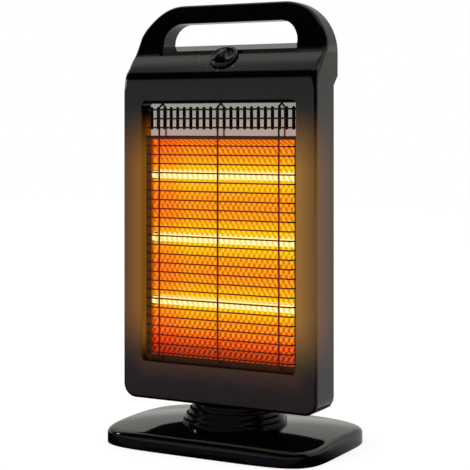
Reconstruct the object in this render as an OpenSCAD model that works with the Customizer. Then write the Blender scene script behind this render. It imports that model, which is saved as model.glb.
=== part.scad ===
// Three-bar halogen heater that swivels on an oval base.
// Origin: centre of the base, on the floor. X runs across the front, -Y faces the room, Z is up.

/* [Base] */
// Width of the base
base_w = 288; // [260:2:340]
// Depth of the base
base_d = 195; // [180:1:240]
// Squareness of the base outline, 2 is an ellipse
base_power = 5.3; // [3.5:0.1:8]
// Height of the base at its middle
base_top = 25; // [24:0.5:32]
// Radius of the crowned top from front to back
crown_r = 850; // [700:10:2000]
// Rise of the crown above the collar's seat
crown_rise = 1; // [0:0.1:2]
// Half length of the level middle of the crown
crown_flat = 52; // [20:1:80]
// Radius in which the ends of the crown fall away
crown_end_r = 770; // [500:10:850]
// Wall of the moulded base cover
base_wall = 2.5; // [2:0.1:3]
// Thickness of the steel base plate
plate_t = 2.5; // [2:0.1:3]
// Height of the rubber feet below the plate
foot_h = 1; // [0.8:0.1:3]
// Radius of a rubber foot
foot_r = 9; // [6:0.5:11]
// Distance of a foot from the end of the base
foot_end = 36; // [32:1:44]
// Distance of a foot from the front or back of the base
foot_side = 29.5; // [26:0.5:34]

/* [Neck] */
// Radius of the widest ring of the collar
collar_r = 64; // [61:0.5:70]
// Inward step of each higher ring
collar_step = 4.25; // [3:0.25:4.5]
// Height of each ring
ring_h = 6; // [5:0.5:7]
// Wall of the collar
collar_wall = 3; // [2.5:0.5:4]
// Thickness of the slip washer in the groove
slip_t = 1.5; // [1:0.25:2.5]
// Radius of the slip washer
slip_r = 49; // [40:1:50]
// Radius of the turntable under the body
turntable_r = 52.5; // [51:0.5:56]
// Thickness of the turntable
turntable_t = 6.4; // [5:0.2:8]
// Outer radius of the pivot tube
tube_r = 12; // [11:0.5:13]
// Bore radius of the pivot tube, for the mains lead
tube_bore_r = 8.5; // [7:0.5:9]
// Radial running clearance of the pivot
running = 0.06; // [0.03:0.01:0.1]
// Wall of the swivel bush
bush_wall = 3; // [2.5:0.25:3.5]

/* [Body] */
// Width of the heater body
body_w = 263; // [255:1:280]
// Height of the handle above the slanted panel
handle_h = 55; // [52:0.5:66]
// Front of the body, ahead of the pivot
front_reach = 47; // [44:0.5:52]
// Back edge of the side walls, behind the pivot
side_reach = 0.5; // [0.5:0.5:4]
// Back of the head and handle, behind the pivot
head_reach = 12; // [11:0.5:16]
// Back of the rear cover, behind the pivot
cover_reach = 45; // [44:0.5:60]
// Narrowing of the rear cover on each side, towards its back
cover_taper = 27.5; // [20:0.5:32]
// Wall of the moulded shells
shell = 2.5; // [2:0.1:3]
// Radius of the bottom corners
corner_r = 17; // [12:0.5:24]
// Radius of the handle's shoulders
arch_r = 63; // [50:1:66]

/* [Head] */
// Height of the frame above the window, up to the slanted panel
brow_h = 31.5; // [28:0.5:40]
// Setback of the handle's front face from the body's front
slope_run = 32; // [30:0.5:34]
// Width of the handle beside its opening
grip_side = 39; // [37:0.5:55]
// Radius of the upper corners of the opening
grip_r = 25; // [15:0.5:27]
// Thickness of the handle bar above the opening
grip_bar = 23; // [20:0.5:26]
// Rise of the opening's floor, front to back
grip_rise = 9; // [4:0.5:11]
// Depth of the finger ledge in front of the opening, below the top of the slope
ledge_drop = 7.5; // [6:0.5:9]

/* [Window] */
// Width of the frame beside the window
frame_side = 25.5; // [24:0.5:28]
// Height of the window's bottom edge above the body's bottom
window_rise = 46; // [45:0.5:48]
// Corner radius of the window
window_r = 3; // [2:0.5:6]
// Depth of the wall that returns into the window
return_d = 11.5; // [11:0.5:13]
// Thickness of the return wall
return_t = 2; // [1.5:0.1:2.5]

/* [Guard] */
// Distance between horizontal wires
wire_pitch = 11; // [10:0.25:12]
// Radius of a horizontal wire
wire_r = 0.8; // [0.6:0.1:1]
// Radius of an upright wire
upright_r = 1; // [0.8:0.1:1.2]
// Share of the window's half-width at which the outer upright wires stand
upright_share = 0.774; // [0.6:0.002:0.85]
// Length of the bent end of a wire, across
wire_bend = 8; // [7:0.5:12]
// Height of the lowest wire above the window's bottom edge
wire_rise = 12; // [11:0.5:13]

/* [Reflector] */
// Sheet thickness of the metalwork
sheet = 0.8; // [0.6:0.1:1]
// Gap between the sheet metal behind the window and the outside of the body
metal_margin = 21.5; // [21:0.5:22.5]
// Width of the flange beside the reflector's mouth
flange_w = 11.5; // [11:0.5:14]
// Height of the reflector's mouth
mouth_h = 265; // [240:1:300]
// Height of the sill below the mouth
sill_h = 8; // [6:0.5:10]
// Height of the vent band above the mouth
vent_h = 47; // [44:0.5:52]
// Depth of the reflector dish
dish_d = 12.5; // [11.5:0.5:14]
// Slope of the dish's walls, inwards
dish_draft = 5.5; // [4:0.5:8]
// Number of vent slots above the reflector
slot_count = 22; // [10:1:23]
// Distance from the outer vent slots to the ends of the mouth
slot_end = 0.85; // [0:0.05:8]
// Width of a vent slot
slot_w = 4.6; // [3:0.1:5]
// Height of a vent slot
slot_h = 28; // [20:1:29]

/* [Lamps] */
// Radius of a quartz tube
lamp_r = 4.5; // [4:0.25:4.75]
// Wall of a quartz tube
lamp_wall = 1; // [0.8:0.1:1.2]
// Distance between lamps, as a share of the mouth's height
lamp_share = 0.2924; // [0.26:0.0004:0.31]
// Gap between the end of a quartz tube and the outside of the body
lamp_margin = 14.5; // [13.5:0.5:15.5]
// Size of the square ceramic caps
cap_size = 14; // [13:0.5:16]
// Length of a ceramic cap
cap_l = 14; // [12:0.5:15]

/* [Dial] */
// Radius of the knob
knob_r = 18.2; // [15:0.1:19.2]
// Height of the knob above the panel
knob_h = 10; // [9.5:0.5:14]
// Width of the knob's grip
blade_w = 8; // [7.5:0.5:10]
// Radius of the switch shaft
shaft_r = 3; // [2.5:0.1:3.2]
// Radius of the switch's threaded neck
switch_neck_r = 5; // [4.75:0.25:5.5]
// Distance of the knob down the slope from the handle
dial_drop = 17.8; // [17:0.1:19]

/* [Swivel drive] */
// Distance from the pivot to the motor shaft
drive_reach = 35; // [34:0.5:36]
// Throw of the crank pin
crank_throw = 20; // [16:0.5:20]
// Radius of the crank pin
crank_pin_r = 2; // [1.5:0.25:2.25]
// Radius of the drive motor
motor_r = 21; // [18:0.5:22]
// Height of the drive motor
motor_h = 18; // [14:0.5:19]
// Thickness of the slotted arm
arm_t = 3; // [2:0.25:3.5]

/* [Tip-over switch] */
// Place of the plunger across the base
plunger_x = -85; // [-90:1:-75]
// Radius of the plunger
plunger_r = 4; // [3:0.25:4.5]
// Travel of the plunger when the heater is lifted
plunger_travel = 5; // [4:0.25:5]

/* [Fasteners] */
// Thread radius of the screws
screw_r = 1.6; // [1.4:0.1:2]
// Head radius of the screws
screw_head_r = 3.2; // [3:0.1:3.6]
// Radius of the screw bosses
boss_r = 4.5; // [4.2:0.1:5.5]

/* [Hidden] */
$fn = 48;
eps = 0.01;
gap = 0.3;          // between faces that move past each other
seat = 0.05;        // between faces that rest on each other
fit = 0.2;          // around moulded parts that slip together
tan22 = tan(22.5);  // how far a 45 degree bend shifts in a wall
half_w = body_w / 2;
foot_x = base_w / 2 - foot_end;
foot_y = base_d / 2 - foot_side;
window_w = body_w - 2 * frame_side;
window_h = sill_h + mouth_h + vent_h;
slope_start = window_rise + window_h + brow_h;
body_h = slope_start + slope_run + handle_h;
cover_w = body_w - 2 * cover_taper;
grip_w = body_w - 2 * grip_side;
metal_reach = half_w - metal_margin;
mouth_reach = metal_reach - flange_w;
lamp_reach = half_w - lamp_margin;
lamp_pitch = lamp_share * mouth_h;
wire_reach = window_w / 2 - wire_bend;
wire_count = floor((window_h - wire_rise) / wire_pitch);
upright_pitch = upright_share * window_w / 2;
slot_pitch = 2 * (mouth_reach - slot_end) / (slot_count - 1);

// base heights
cover_low = foot_h;
plate_low = foot_h;
plate_top = plate_low + plate_t;
cavity_top = base_top - 2 * base_wall + 0.5;
boss_x = base_w / 2 - 24;
boss_y = base_d / 2 - 17.5;
boss_near = base_w / 6 + 2;
boss_spots = [[-boss_x, 0], [boss_x, 0], [-boss_near, boss_y], [boss_near, boss_y], [-boss_near, -boss_y],
    [boss_near, -boss_y]];
gland_r = 6;
gland_bore_r = 3.6;
gland_flange_r = 8;
gland_l = 9.5;
gland_z = 10.5;
flange_r = 24;
flange_t = 3;
flange_screw_r = 19;
lead_hole_z = 12;
lead_hole_r = 2.7;

// neck heights
crown_edge = base_top + crown_rise - collar_r * collar_r / (2 * crown_r);
collar_low = crown_edge - 1;
collar_top = base_top + 3 * ring_h;
slip_low = collar_top;
turntable_low = slip_low + slip_t + seat;
body_bottom = turntable_low + turntable_t;
turntable_screw_r = 40;
bush_r = tube_r + running + bush_wall;
bracket_t = 2;
bracket_low = body_bottom + shell;
bracket_top = bracket_low + bracket_t;
bracket_reach = 70;
bracket_half_d = 34;
bush_top = bracket_top + 4.5;
washer_low = bush_top + gap;
washer_t = 1.5;
washer_r = 19;
nut_low = washer_low + washer_t;
nut_h = 4.2;
nut_r = 17.3;
arm_low = nut_low + nut_h;
arm_top = arm_low + arm_t;
arm_hub_r = 18;
arm_half_w = 6.5;
slot_clear = 0.3;

// drive heights
pin_low = arm_top + 0.4;
crank_low = pin_low + 1.6;
crank_t = 3;
crank_r = crank_throw + crank_pin_r + 1;
motor_plate_low = crank_low + crank_t + 1;
motor_plate_t = 2;
motor_low = motor_plate_low + motor_plate_t;
motor_shaft_r = 3;
leg_t = 2;
leg_y = 31;

// body shape
body_top = body_bottom + body_h;
front_y = -front_reach;
handle_y = front_y + slope_run;
slope_z = body_bottom + slope_start;
slope_top_z = slope_z + slope_run;
step_z = slope_z - 14.5;
lip = 6;
grip_top = body_top - grip_bar;
grip_floor = slope_top_z - 3.3;
grip_slope = grip_rise / (head_reach - handle_y);
ledge_z = slope_top_z - ledge_drop;
ledge_y = handle_y - 2;
screw_x = half_w - 33.5;
low_screw_z = body_bottom + 21;
high_screw_z = slope_z - 16.5;
grip_screw_x = 0.3 * grip_w;
grip_screw_z = body_top - grip_bar / 2;
post_r = 5;
screw_clear_r = 2.2;
head_clear_r = 4.2;
louvre_h = 4;
louvre_l = 0.236 * body_w;
louvre_x = 0.183 * body_w;
louvre_pitch = 12;
louvre_count = floor((window_h - 56) / louvre_pitch);

// window and metalwork
window_low = body_bottom + window_rise;
window_top = window_low + window_h;
metal_y = front_y + return_d;
metal_low = window_low - 3.5;
mouth_low = window_low + sill_h;
mouth_top = mouth_low + mouth_h;
reflector_top = mouth_top + 4;
vent_top = window_top + 7.5;
slot_low = reflector_top + 7.5;
dish_y = metal_y + dish_d;
shield_y = dish_y + 9;
shield_reach = metal_reach - 4;
guard_y = front_y + 2;
upright_y = guard_y + wire_r + upright_r - 0.15;
wire_low = window_low + wire_rise;
wire_end = window_w / 2 - 3;
bend_top = wire_low + (wire_count - 1) * wire_pitch + 2.5;
bend_low = wire_low - 3.5;

// lamps
lamp_y = metal_y + sheet + lamp_r + 0.3;
lamp_mid_z = mouth_low + 0.5415 * mouth_h;
lamp_hole = 1;
cap_x = metal_reach + 1;
lamp_fit = 0.1;
rail_y = lamp_y + cap_size / 2;
rail_low = lamp_mid_z - lamp_pitch - 22;
rail_h = 2 * lamp_pitch + 44;
rail_reach = half_w - shell - fit;
coil_r = 0.8;
disc_pitch = 7.5;
disc_t = 0.8;

// dial, in a frame whose Z stands out of the slanted panel
dial_y = handle_y - dial_drop * sin(45);
dial_z = slope_top_z - dial_drop * sin(45);
switch_depth = 22;
switch_half_w = 13;
nut_t = 2.2;
knob_gap = 0.7;
shaft_low = -18;

// tip-over switch
plunger_flange_r = plunger_r + 2;
plunger_flange_t = 1.5;
plunger_flange_z = plate_top + plunger_travel + 0.3;
spring_low = plunger_flange_z + plunger_flange_t;
spring_top = cavity_top - 3.6;
spring_r = plunger_r + 0.6;
bridge_t = 1.2;
bridge_half = 10;

// routes of the inner leads, as chosen by hand from their ends
lead_r = 1.5;
supply_r = 2.4;
switch_lead_x = -half_w + 46.5;
block_x = -half_w + 76.5;
block_half = 25;
block_z = window_low + 8;
block_h = 16;
block_y = shield_y + sheet;
block_d = 16;

// ---------- shared shapes ----------

module along_y(y0, y1) {
    translate([0, y1, 0]) rotate([90, 0, 0]) linear_extrude(y1 - y0) children();
}

module along_x(x0, x1) {
    translate([x0, 0, 0]) rotate([90, 0, 90]) linear_extrude(x1 - x0) children();
}

module rod_x(x0, x1, r) {
    translate([x0, 0, 0]) rotate([0, 90, 0]) cylinder(r = r, h = x1 - x0);
}

module rod_y(y0, y1, r) {
    translate([0, y1, 0]) rotate([90, 0, 0]) cylinder(r = r, h = y1 - y0);
}

module rod_between(a, b, r) {
    d = b - a;
    l = norm(d);
    translate(a) rotate([0, acos(d[2] / l), atan2(d[1], d[0])]) cylinder(r = r, h = l, $fn = 20);
}

module ring(r_out, r_in, z0, z1) {
    translate([0, 0, z0]) difference() {
        cylinder(r = r_out, h = z1 - z0);
        translate([0, 0, -1]) cylinder(r = r_in, h = z1 - z0 + 2);
    }
}

// a rectangle from two corners, with one radius below and one above
module soft_rect(x0, x1, y0, y1, r_low, r_high) {
    translate([x0, y0 + r_low]) square([x1 - x0, y1 - y0 - r_low - r_high]);
    translate([x0 + r_low, y0]) square([x1 - x0 - 2 * r_low, r_low + eps]);
    translate([x0 + r_high, y1 - r_high - eps]) square([x1 - x0 - 2 * r_high, r_high + eps]);
    for (x = [x0 + r_low, x1 - r_low]) translate([x, y0 + r_low]) circle(r = r_low);
    for (x = [x0 + r_high, x1 - r_high]) translate([x, y1 - r_high]) circle(r = r_high);
}

function oval_radius(a, b, n, t) = pow(pow(abs(cos(t)) / a, n) + pow(abs(sin(t)) / b, n), -1 / n);

function oval(a, b, n, steps) = [
    for (i = [0:steps - 1])
        let (t = 360 * i / steps, r = oval_radius(a, b, n, t))
            [r * cos(t), r * sin(t)]
];

// the outline's points lie on a fine grid, so that the crown cuts it cleanly
grid = 0.05;
function on_grid(v) = [for (c = v) round(c / grid) * grid];

module base_outline(inset) {
    polygon([for (v = oval(base_w / 2 - inset, base_d / 2 - inset, base_power, 96)) on_grid(v)]);
}

// a barrel lying along X: level in the middle, falling away to its ends, swollen by grow and let down by drop
module crown_barrel(grow, drop) {
    r = crown_r + grow;
    translate([0, 0, base_top + crown_rise - crown_r - drop]) rotate([0, 90, 0]) rotate_extrude($fn = 360)
        intersection() {
            translate([0, -base_w]) square([r + 1, 2 * base_w]);
            union() {
                translate([0, -crown_flat]) square([r, 2 * crown_flat]);
                for (x = [-crown_flat, crown_flat])
                    translate([r - crown_end_r, x]) circle(r = crown_end_r, $fn = 360);
            }
        }
}

// the crowned block of the base, drawn in by an inset
module crowned(inset, low, high) {
    intersection() {
        translate([0, 0, low]) linear_extrude(high - low) base_outline(inset);
        crown_barrel(0, inset);
    }
}

// a screw along Z with its head above z and its tip below
module screw(z, length) {
    translate([0, 0, z - length]) cylinder(r = screw_r, h = length + eps);
    difference() {
        translate([0, 0, z]) cylinder(r = screw_head_r, h = 1.8);
        translate([-0.4, -screw_head_r, z + 1.1]) cube([0.8, 2 * screw_head_r, 1]);
    }
}

// a soft tube through a list of points, eight-sided
function unit(v) = v / norm(v);
function tangent(p, i) = unit(p[min(i + 1, len(p) - 1)] - p[max(i - 1, 0)]);
function side_of(t, up) = unit(cross(t, up));
function softened(p) = [
    p[0],
    for (i = [0:len(p) - 2]) each [p[i] * 0.75 + p[i + 1] * 0.25, p[i] * 0.25 + p[i + 1] * 0.75],
    p[len(p) - 1]
];

module tube_along(points, r, up) {
    sides = 8;
    p = softened(softened(points));
    n = len(p);
    rings = [
        for (i = [0:n - 1])
            let (t = tangent(p, i), u = side_of(t, up), v = cross(u, t))
                for (k = [0:sides - 1])
                    p[i] + r * (cos(360 * k / sides) * u + sin(360 * k / sides) * v)
    ];
    walls = [
        for (i = [0:n - 2]) for (k = [0:sides - 1])
            let (a = i * sides + k, b = i * sides + (k + 1) % sides)
                each [[a, b, b + sides], [a, b + sides, a + sides]]
    ];
    ends = [
        [for (k = [0:sides - 1]) sides - 1 - k],
        [for (k = [0:sides - 1]) (n - 1) * sides + k]
    ];
    polyhedron(points = rings, faces = concat(walls, ends));
}

// ---------- base ----------

module base_cover() {
    color([0.02, 0.02, 0.02]) difference() {
        crowned(0, cover_low, base_top + crown_rise + 1);
        difference() {
            crowned(base_wall, cover_low - 1, cavity_top);
            for (s = boss_spots) translate([s[0], s[1], plate_top]) cylinder(r = boss_r, h = base_top);
        }
        for (s = boss_spots) translate([s[0], s[1], 0]) cylinder(r = screw_r - 0.2, h = plate_top + 8);
        cylinder(r = tube_r + fit, h = base_top + 5);
        translate([0, 0, gland_z]) rod_y(base_d / 2 - 2 * gland_l, base_d / 2 + 1, gland_r + seat);
    }
}

module base_plate() {
    color([0.12, 0.12, 0.12]) difference() {
        translate([0, 0, plate_low]) linear_extrude(plate_t) base_outline(base_wall + fit);
        for (s = boss_spots) translate([s[0], s[1], 0]) cylinder(r = screw_r + 0.1, h = plate_top + 1);
        for (x = [-foot_x, foot_x], y = [-foot_y, foot_y])
            translate([x, y, 0]) cylinder(r = foot_r / 3, h = plate_top + 1);
        for (a = [45:90:315]) rotate(a) translate([flange_screw_r, 0, 0]) cylinder(r = screw_r, h = plate_top + 1);
        translate([plunger_x, 0, 0]) cylinder(r = plunger_r + running, h = plate_top + 1);
    }
}

module rubber_foot(i) {
    x = i % 2 == 0 ? -foot_x : foot_x;
    y = i < 2 ? -foot_y : foot_y;
    color([0.06, 0.06, 0.06]) translate([x, y, 0]) {
        cylinder(r = foot_r, h = foot_h);
        cylinder(r = foot_r / 3 - seat / 2, h = plate_top + 1.5);
    }
}

module base_screws() {
    color([0.5, 0.5, 0.52]) for (s = boss_spots)
        translate([s[0], s[1], 0]) {
            translate([0, 0, foot_h - 0.8]) cylinder(r = screw_head_r, h = 0.8);
            cylinder_between(foot_h - eps, plate_top, screw_r);
            cylinder_between(plate_top - eps, plate_top + 7.5, screw_r - 0.2);
        }
}

module cylinder_between(z0, z1, r) {
    translate([0, 0, z0]) cylinder(r = r, h = z1 - z0);
}

module cord_gland() {
    inner_y = base_d / 2 - base_wall;
    color([0.05, 0.05, 0.05]) translate([0, 0, gland_z]) difference() {
        union() {
            rod_y(base_d / 2 - gland_l, base_d / 2, gland_r);
            rod_y(inner_y - 3, inner_y - 0.4, gland_flange_r - 1);
        }
        rod_y(base_d / 2 - gland_l - 1, base_d / 2 + 1, gland_bore_r);
    }
}

module neck_collar() {
    color([0.015, 0.015, 0.015]) difference() {
        union() {
            cylinder_between(collar_low, base_top + ring_h, collar_r);
            cylinder_between(collar_low, base_top + 2 * ring_h, collar_r - collar_step);
            cylinder_between(collar_low, collar_top, collar_r - 2 * collar_step);
        }
        crown_barrel(seat, 0);
        cylinder_between(collar_low - 1, collar_top - collar_wall, collar_r - 2 * collar_step - collar_wall);
        cylinder_between(collar_low, collar_top + 1, tube_r + fit);
    }
}

module slip_washer() {
    color([0.75, 0.75, 0.72]) ring(slip_r, tube_r + gap, slip_low, slip_low + slip_t);
}

module pivot_tube() {
    color([0.55, 0.56, 0.58]) difference() {
        union() {
            cylinder_between(plate_top, plate_top + flange_t, flange_r);
            cylinder_between(plate_top, arm_top, tube_r);
        }
        cylinder_between(plate_top - 1, arm_top + 1, tube_bore_r);
        translate([0, 0, lead_hole_z]) rod_y(0, tube_r + 1, lead_hole_r);
        for (a = [45:90:315]) rotate(a) translate([flange_screw_r, 0, 0])
            cylinder_between(plate_top - 1, plate_top + flange_t + 1, screw_r);
    }
}

module tube_screws() {
    color([0.5, 0.5, 0.52]) for (a = [45:90:315])
        rotate(a) translate([flange_screw_r, 0, 0]) screw(plate_top + flange_t, flange_t + plate_t - 0.5);
}

module retainer_washer() {
    color([0.6, 0.6, 0.62]) ring(washer_r, tube_r + seat, washer_low, nut_low);
}

module retainer_nut() {
    color([0.6, 0.6, 0.62]) difference() {
        translate([0, 0, nut_low]) cylinder(r = nut_r, h = nut_h, $fn = 6);
        cylinder_between(nut_low - 1, arm_low + 1, tube_r + seat);
    }
}

module slotted_arm() {
    far = drive_reach + crank_throw;
    near = drive_reach - crank_throw;
    half_slot = crank_pin_r + slot_clear;
    color([0.62, 0.6, 0.55]) translate([0, 0, arm_low]) difference() {
        union() {
            cylinder(r = arm_hub_r, h = arm_t);
            translate([0, -arm_half_w, 0]) cube([far, 2 * arm_half_w, arm_t]);
            translate([far, 0, 0]) cylinder(r = arm_half_w - 3, h = arm_t);
        }
        translate([0, 0, -1]) cylinder(r = tube_r + seat, h = arm_t + 2);
        translate([near + 2, -half_slot, -1]) cube([far - near - 4, 2 * half_slot, arm_t + 2]);
    }
}

module tip_switch() {
    body_y = plunger_flange_r + 4.5;
    color([0.1, 0.1, 0.1]) translate([plunger_x - 10, body_y, plate_top])
        cube([20, 6.5, 8]);
    color([0.8, 0.8, 0.78]) translate([plunger_x - 1.5, spring_r + 0.6, plate_top + 8])
        cube([3, body_y + 5 - spring_r, 0.5]);
}

module switch_bracket() {
    color([0.6, 0.6, 0.62]) {
        translate([plunger_x - bridge_half, -5, spring_top]) difference() {
            cube([2 * bridge_half, 10, bridge_t]);
            translate([bridge_half, 5, -1]) cylinder(r = plunger_r - 1.6, h = bridge_t + 2);
        }
        for (x = [-bridge_half, bridge_half - bridge_t])
            translate([plunger_x + x, -5, plate_top]) cube([bridge_t, 10, spring_top - plate_top + eps]);
    }
}

module tip_plunger() {
    color([0.85, 0.85, 0.82]) translate([plunger_x, 0, 0]) {
        cylinder_between(0, plunger_flange_z + eps, plunger_r);
        cylinder_between(plunger_flange_z, spring_low, plunger_flange_r);
        cylinder_between(spring_low - eps, spring_low + 2.5, plunger_r - 1.9);
    }
}

module plunger_spring() {
    color([0.7, 0.7, 0.72]) translate([plunger_x, 0, 0])
        ring(spring_r, spring_r - 1.1, spring_low, spring_top);
}

// ---------- swivel ----------

module swivel_holes(r) {
    for (a = [45:90:315]) rotate(a) translate([turntable_screw_r, 0, 0])
        cylinder_between(turntable_low - 1, bracket_top + 1, r);
}

module turntable() {
    color([0.015, 0.015, 0.015]) difference() {
        cylinder_between(turntable_low, body_bottom, turntable_r);
        cylinder_between(turntable_low - 1, body_bottom + 1, bush_r + seat);
        swivel_holes(screw_r + seat);
    }
}

module swivel_bush() {
    color([0.8, 0.78, 0.7]) ring(bush_r, tube_r + running, turntable_low, bush_top);
}

module swivel_screws() {
    color([0.5, 0.5, 0.52]) for (a = [45:90:315])
        rotate(a) translate([turntable_screw_r, 0, 0]) screw(bracket_top, bracket_top - turntable_low - 1.5);
}

module bottom_bracket() {
    color([0.55, 0.56, 0.58]) difference() {
        translate([-bracket_reach, -bracket_half_d, bracket_low])
            cube([2 * bracket_reach, 2 * bracket_half_d, bracket_t]);
        cylinder_between(bracket_low - 1, bracket_top + 1, bush_r + seat);
        swivel_holes(screw_r + seat);
    }
}

module motor_bracket() {
    leg_h = motor_plate_low - bracket_top;
    far = drive_reach + crank_throw + crank_pin_r + 7;
    color([0.6, 0.61, 0.63]) {
        difference() {
            translate([5, -leg_y - leg_t, motor_plate_low]) cube([far - 5, 2 * (leg_y + leg_t), motor_plate_t]);
            translate([drive_reach, 0, motor_plate_low - 1]) cylinder(r = 6, h = motor_plate_t + 2);
        }
        for (y = [-leg_y - leg_t, leg_y])
            translate([5, y, bracket_top]) cube([17, leg_t, leg_h + eps]);
        translate([far - leg_t, -12, bracket_top]) cube([leg_t, 24, leg_h + eps]);
    }
}

module swivel_motor() {
    color([0.72, 0.72, 0.7]) translate([drive_reach, 0, motor_low]) difference() {
        union() {
            cylinder(r = motor_r, h = motor_h);
            for (y = [-1, 1]) translate([-5, y * (motor_r + 2) - 4, 0]) cube([10, 8, 1.2]);
        }
        translate([0, 0, -1]) cylinder(r = motor_shaft_r + running, h = 11);
    }
}

module motor_shaft() {
    color([0.7, 0.7, 0.72]) translate([drive_reach, 0, 0])
        cylinder_between(crank_low, motor_low + 9, motor_shaft_r);
}

module crank_disc() {
    color([0.9, 0.9, 0.86]) translate([drive_reach, 0, 0]) {
        difference() {
            cylinder_between(crank_low, crank_low + crank_t, crank_r);
            cylinder_between(crank_low - 1, crank_low + crank_t + 1, motor_shaft_r + seat / 2);
        }
        translate([crank_throw, 0, 0]) cylinder_between(pin_low, crank_low + eps, crank_pin_r);
    }
}

// ---------- shells ----------

module front_outline(inset) {
    soft_rect(-half_w + inset, half_w - inset, body_bottom + inset, body_top - inset,
        corner_r - inset, arch_r - inset);
}

// the front seen from the side, set back by an inset
function front_edge(inset) = [
    [front_y + inset, body_bottom - 1],
    [front_y + inset, slope_z - inset * tan22],
    [handle_y + inset, slope_top_z - inset * tan22],
    [handle_y + inset, body_top + 1]
];

module body_block() {
    back = [
        [head_reach, body_top + 1],
        [head_reach, step_z + head_reach - side_reach],
        [side_reach, step_z],
        [side_reach, body_bottom - 1]
    ];
    intersection() {
        along_y(front_y, head_reach) front_outline(0);
        along_x(-half_w, half_w) polygon(concat(front_edge(0), back));
    }
}

module body_cavity() {
    back = [[head_reach + 1, body_top + 1], [head_reach + 1, body_bottom - 1]];
    intersection() {
        along_y(front_y, head_reach + 1) front_outline(shell);
        along_x(-half_w, half_w) polygon(concat(front_edge(shell), back));
    }
}

// the handle opening, grown outwards by a wall
module grip_hole(wall, y0, y1) {
    reach = grip_w / 2 + wall;
    intersection() {
        along_y(y0, y1)
            soft_rect(-reach, reach, grip_floor - wall - 10, grip_top + wall, 2, grip_r + wall);
        along_x(-reach, reach) polygon([
            [y0, grip_floor - wall + grip_slope * (y0 - handle_y)],
            [y1, grip_floor - wall + grip_slope * (y1 - handle_y)],
            [y1, body_top],
            [y0, body_top]
        ]);
    }
}

// the ledge in front of the opening, grown outwards by a wall
module finger_ledge(wall) {
    reach = grip_w / 2 + 3 + wall;
    translate([-reach, ledge_y - 18, ledge_z - wall]) cube([2 * reach, 18 + wall, 2 * ledge_drop + wall]);
}

module window_hole(wall, y0, y1) {
    reach = window_w / 2 + wall;
    along_y(y0, y1) soft_rect(-reach, reach, window_low - wall, window_top + wall,
        window_r + wall, window_r + wall);
}

module dial_frame() {
    translate([0, dial_y, dial_z]) rotate([45, 0, 0]) children();
}

module shell_bosses(r, y0) {
    for (x = [-screw_x, screw_x], z = [low_screw_z, high_screw_z])
        translate([x, 0, z]) rod_y(y0, side_reach - fit, r);
}

module grip_bosses(r, y0) {
    for (x = [-grip_screw_x, grip_screw_x])
        translate([x, 0, grip_screw_z]) rod_y(y0, head_reach - shell - fit, r);
}

module front_shell() {
    color([0.03, 0.03, 0.03]) difference() {
        body_block();
        difference() {
            body_cavity();
            grip_hole(shell, handle_y - 8, head_reach + 2);
            finger_ledge(shell);
            window_hole(return_t, front_y, metal_y);
            shell_bosses(boss_r, front_y);
            grip_bosses(boss_r, handle_y);
        }
        grip_hole(0, handle_y - 20, head_reach + 5);
        finger_ledge(0);
        window_hole(0, front_y - 1, metal_y + 1);
        shell_bosses(screw_r - 0.2, side_reach - 14);
        grip_bosses(screw_r - 0.2, head_reach - shell - 12);
        dial_frame() cylinder_between(-10, 10, switch_neck_r + 0.1);
        cylinder_between(body_bottom - 1, bracket_low + 1, bush_r + fit);
        swivel_holes(screw_r + 0.3);
    }
}

// the rear cover's bulge: a rim that slips into the front shell, then tapering walls
module cover_block(inset, low) {
    rim = half_w - shell - fit - inset;
    back = cover_w / 2 - inset;
    back_y = cover_reach - inset;
    front = -lip - 2 * inset;
    crest = step_z + 12 - inset;
    intersection() {
        translate([0, 0, body_bottom]) linear_extrude(body_h)
            polygon([[-rim, front], [rim, front], [rim, side_reach], [back, back_y],
                [-back, back_y], [-rim, side_reach]]);
        along_x(-half_w, half_w) polygon([
            [side_reach, body_bottom + inset],
            [back_y, body_bottom + inset],
            [back_y, crest - 21],
            [head_reach, crest],
            [front + 6, crest],
            [front, crest - 6],
            [front, low],
            [side_reach, low]
        ]);
        union() {
            along_y(front - 1, side_reach) front_outline(shell + fit + inset);
            along_y(side_reach - eps, back_y + 1) soft_rect(-rim, rim, body_bottom + inset, body_top,
                corner_r - shell - fit - inset, corner_r);
        }
    }
}

module head_back() {
    difference() {
        along_y(head_reach - shell, head_reach) intersection() {
            front_outline(shell + fit);
            translate([-half_w, step_z + 8]) square([body_w, body_h]);
        }
        grip_hole(shell + fit, head_reach - shell - 5, head_reach + 5);
    }
}

module rear_posts(r, y0, y1) {
    for (x = [-screw_x, screw_x], z = [low_screw_z, high_screw_z])
        translate([x, 0, z]) rod_y(y0, y1, r);
}

module louvres() {
    z0 = window_low + 18;
    for (side = [-1, 1], i = [0:louvre_count - 1])
        translate([side * louvre_x - louvre_l / 2, cover_reach - shell - 1, z0 + i * louvre_pitch])
            cube([louvre_l, shell + 2, louvre_h]);
}

module rear_shell() {
    color([0.05, 0.05, 0.05]) difference() {
        union() {
            difference() {
                cover_block(0, bracket_low + fit);
                difference() {
                    cover_block(shell, body_bottom + shell);
                    rear_posts(post_r, side_reach, cover_reach);
                }
                translate([corner_r - half_w, -lip - 1, body_bottom])
                    cube([body_w - 2 * corner_r, lip + 1 + side_reach, 2 * lip]);
            }
            head_back();
        }
        rear_posts(screw_clear_r, -20, cover_reach + 1);
        rear_posts(head_clear_r, side_reach + 5, cover_reach + 1);
        louvres();
        for (x = [-grip_screw_x, grip_screw_x])
            translate([x, 0, grip_screw_z]) rod_y(0, head_reach + 1, screw_r + 0.2);
        cylinder_between(body_bottom - 1, bracket_low + 1, bush_r + fit);
        swivel_holes(screw_r + 0.3);
    }
}

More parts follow.
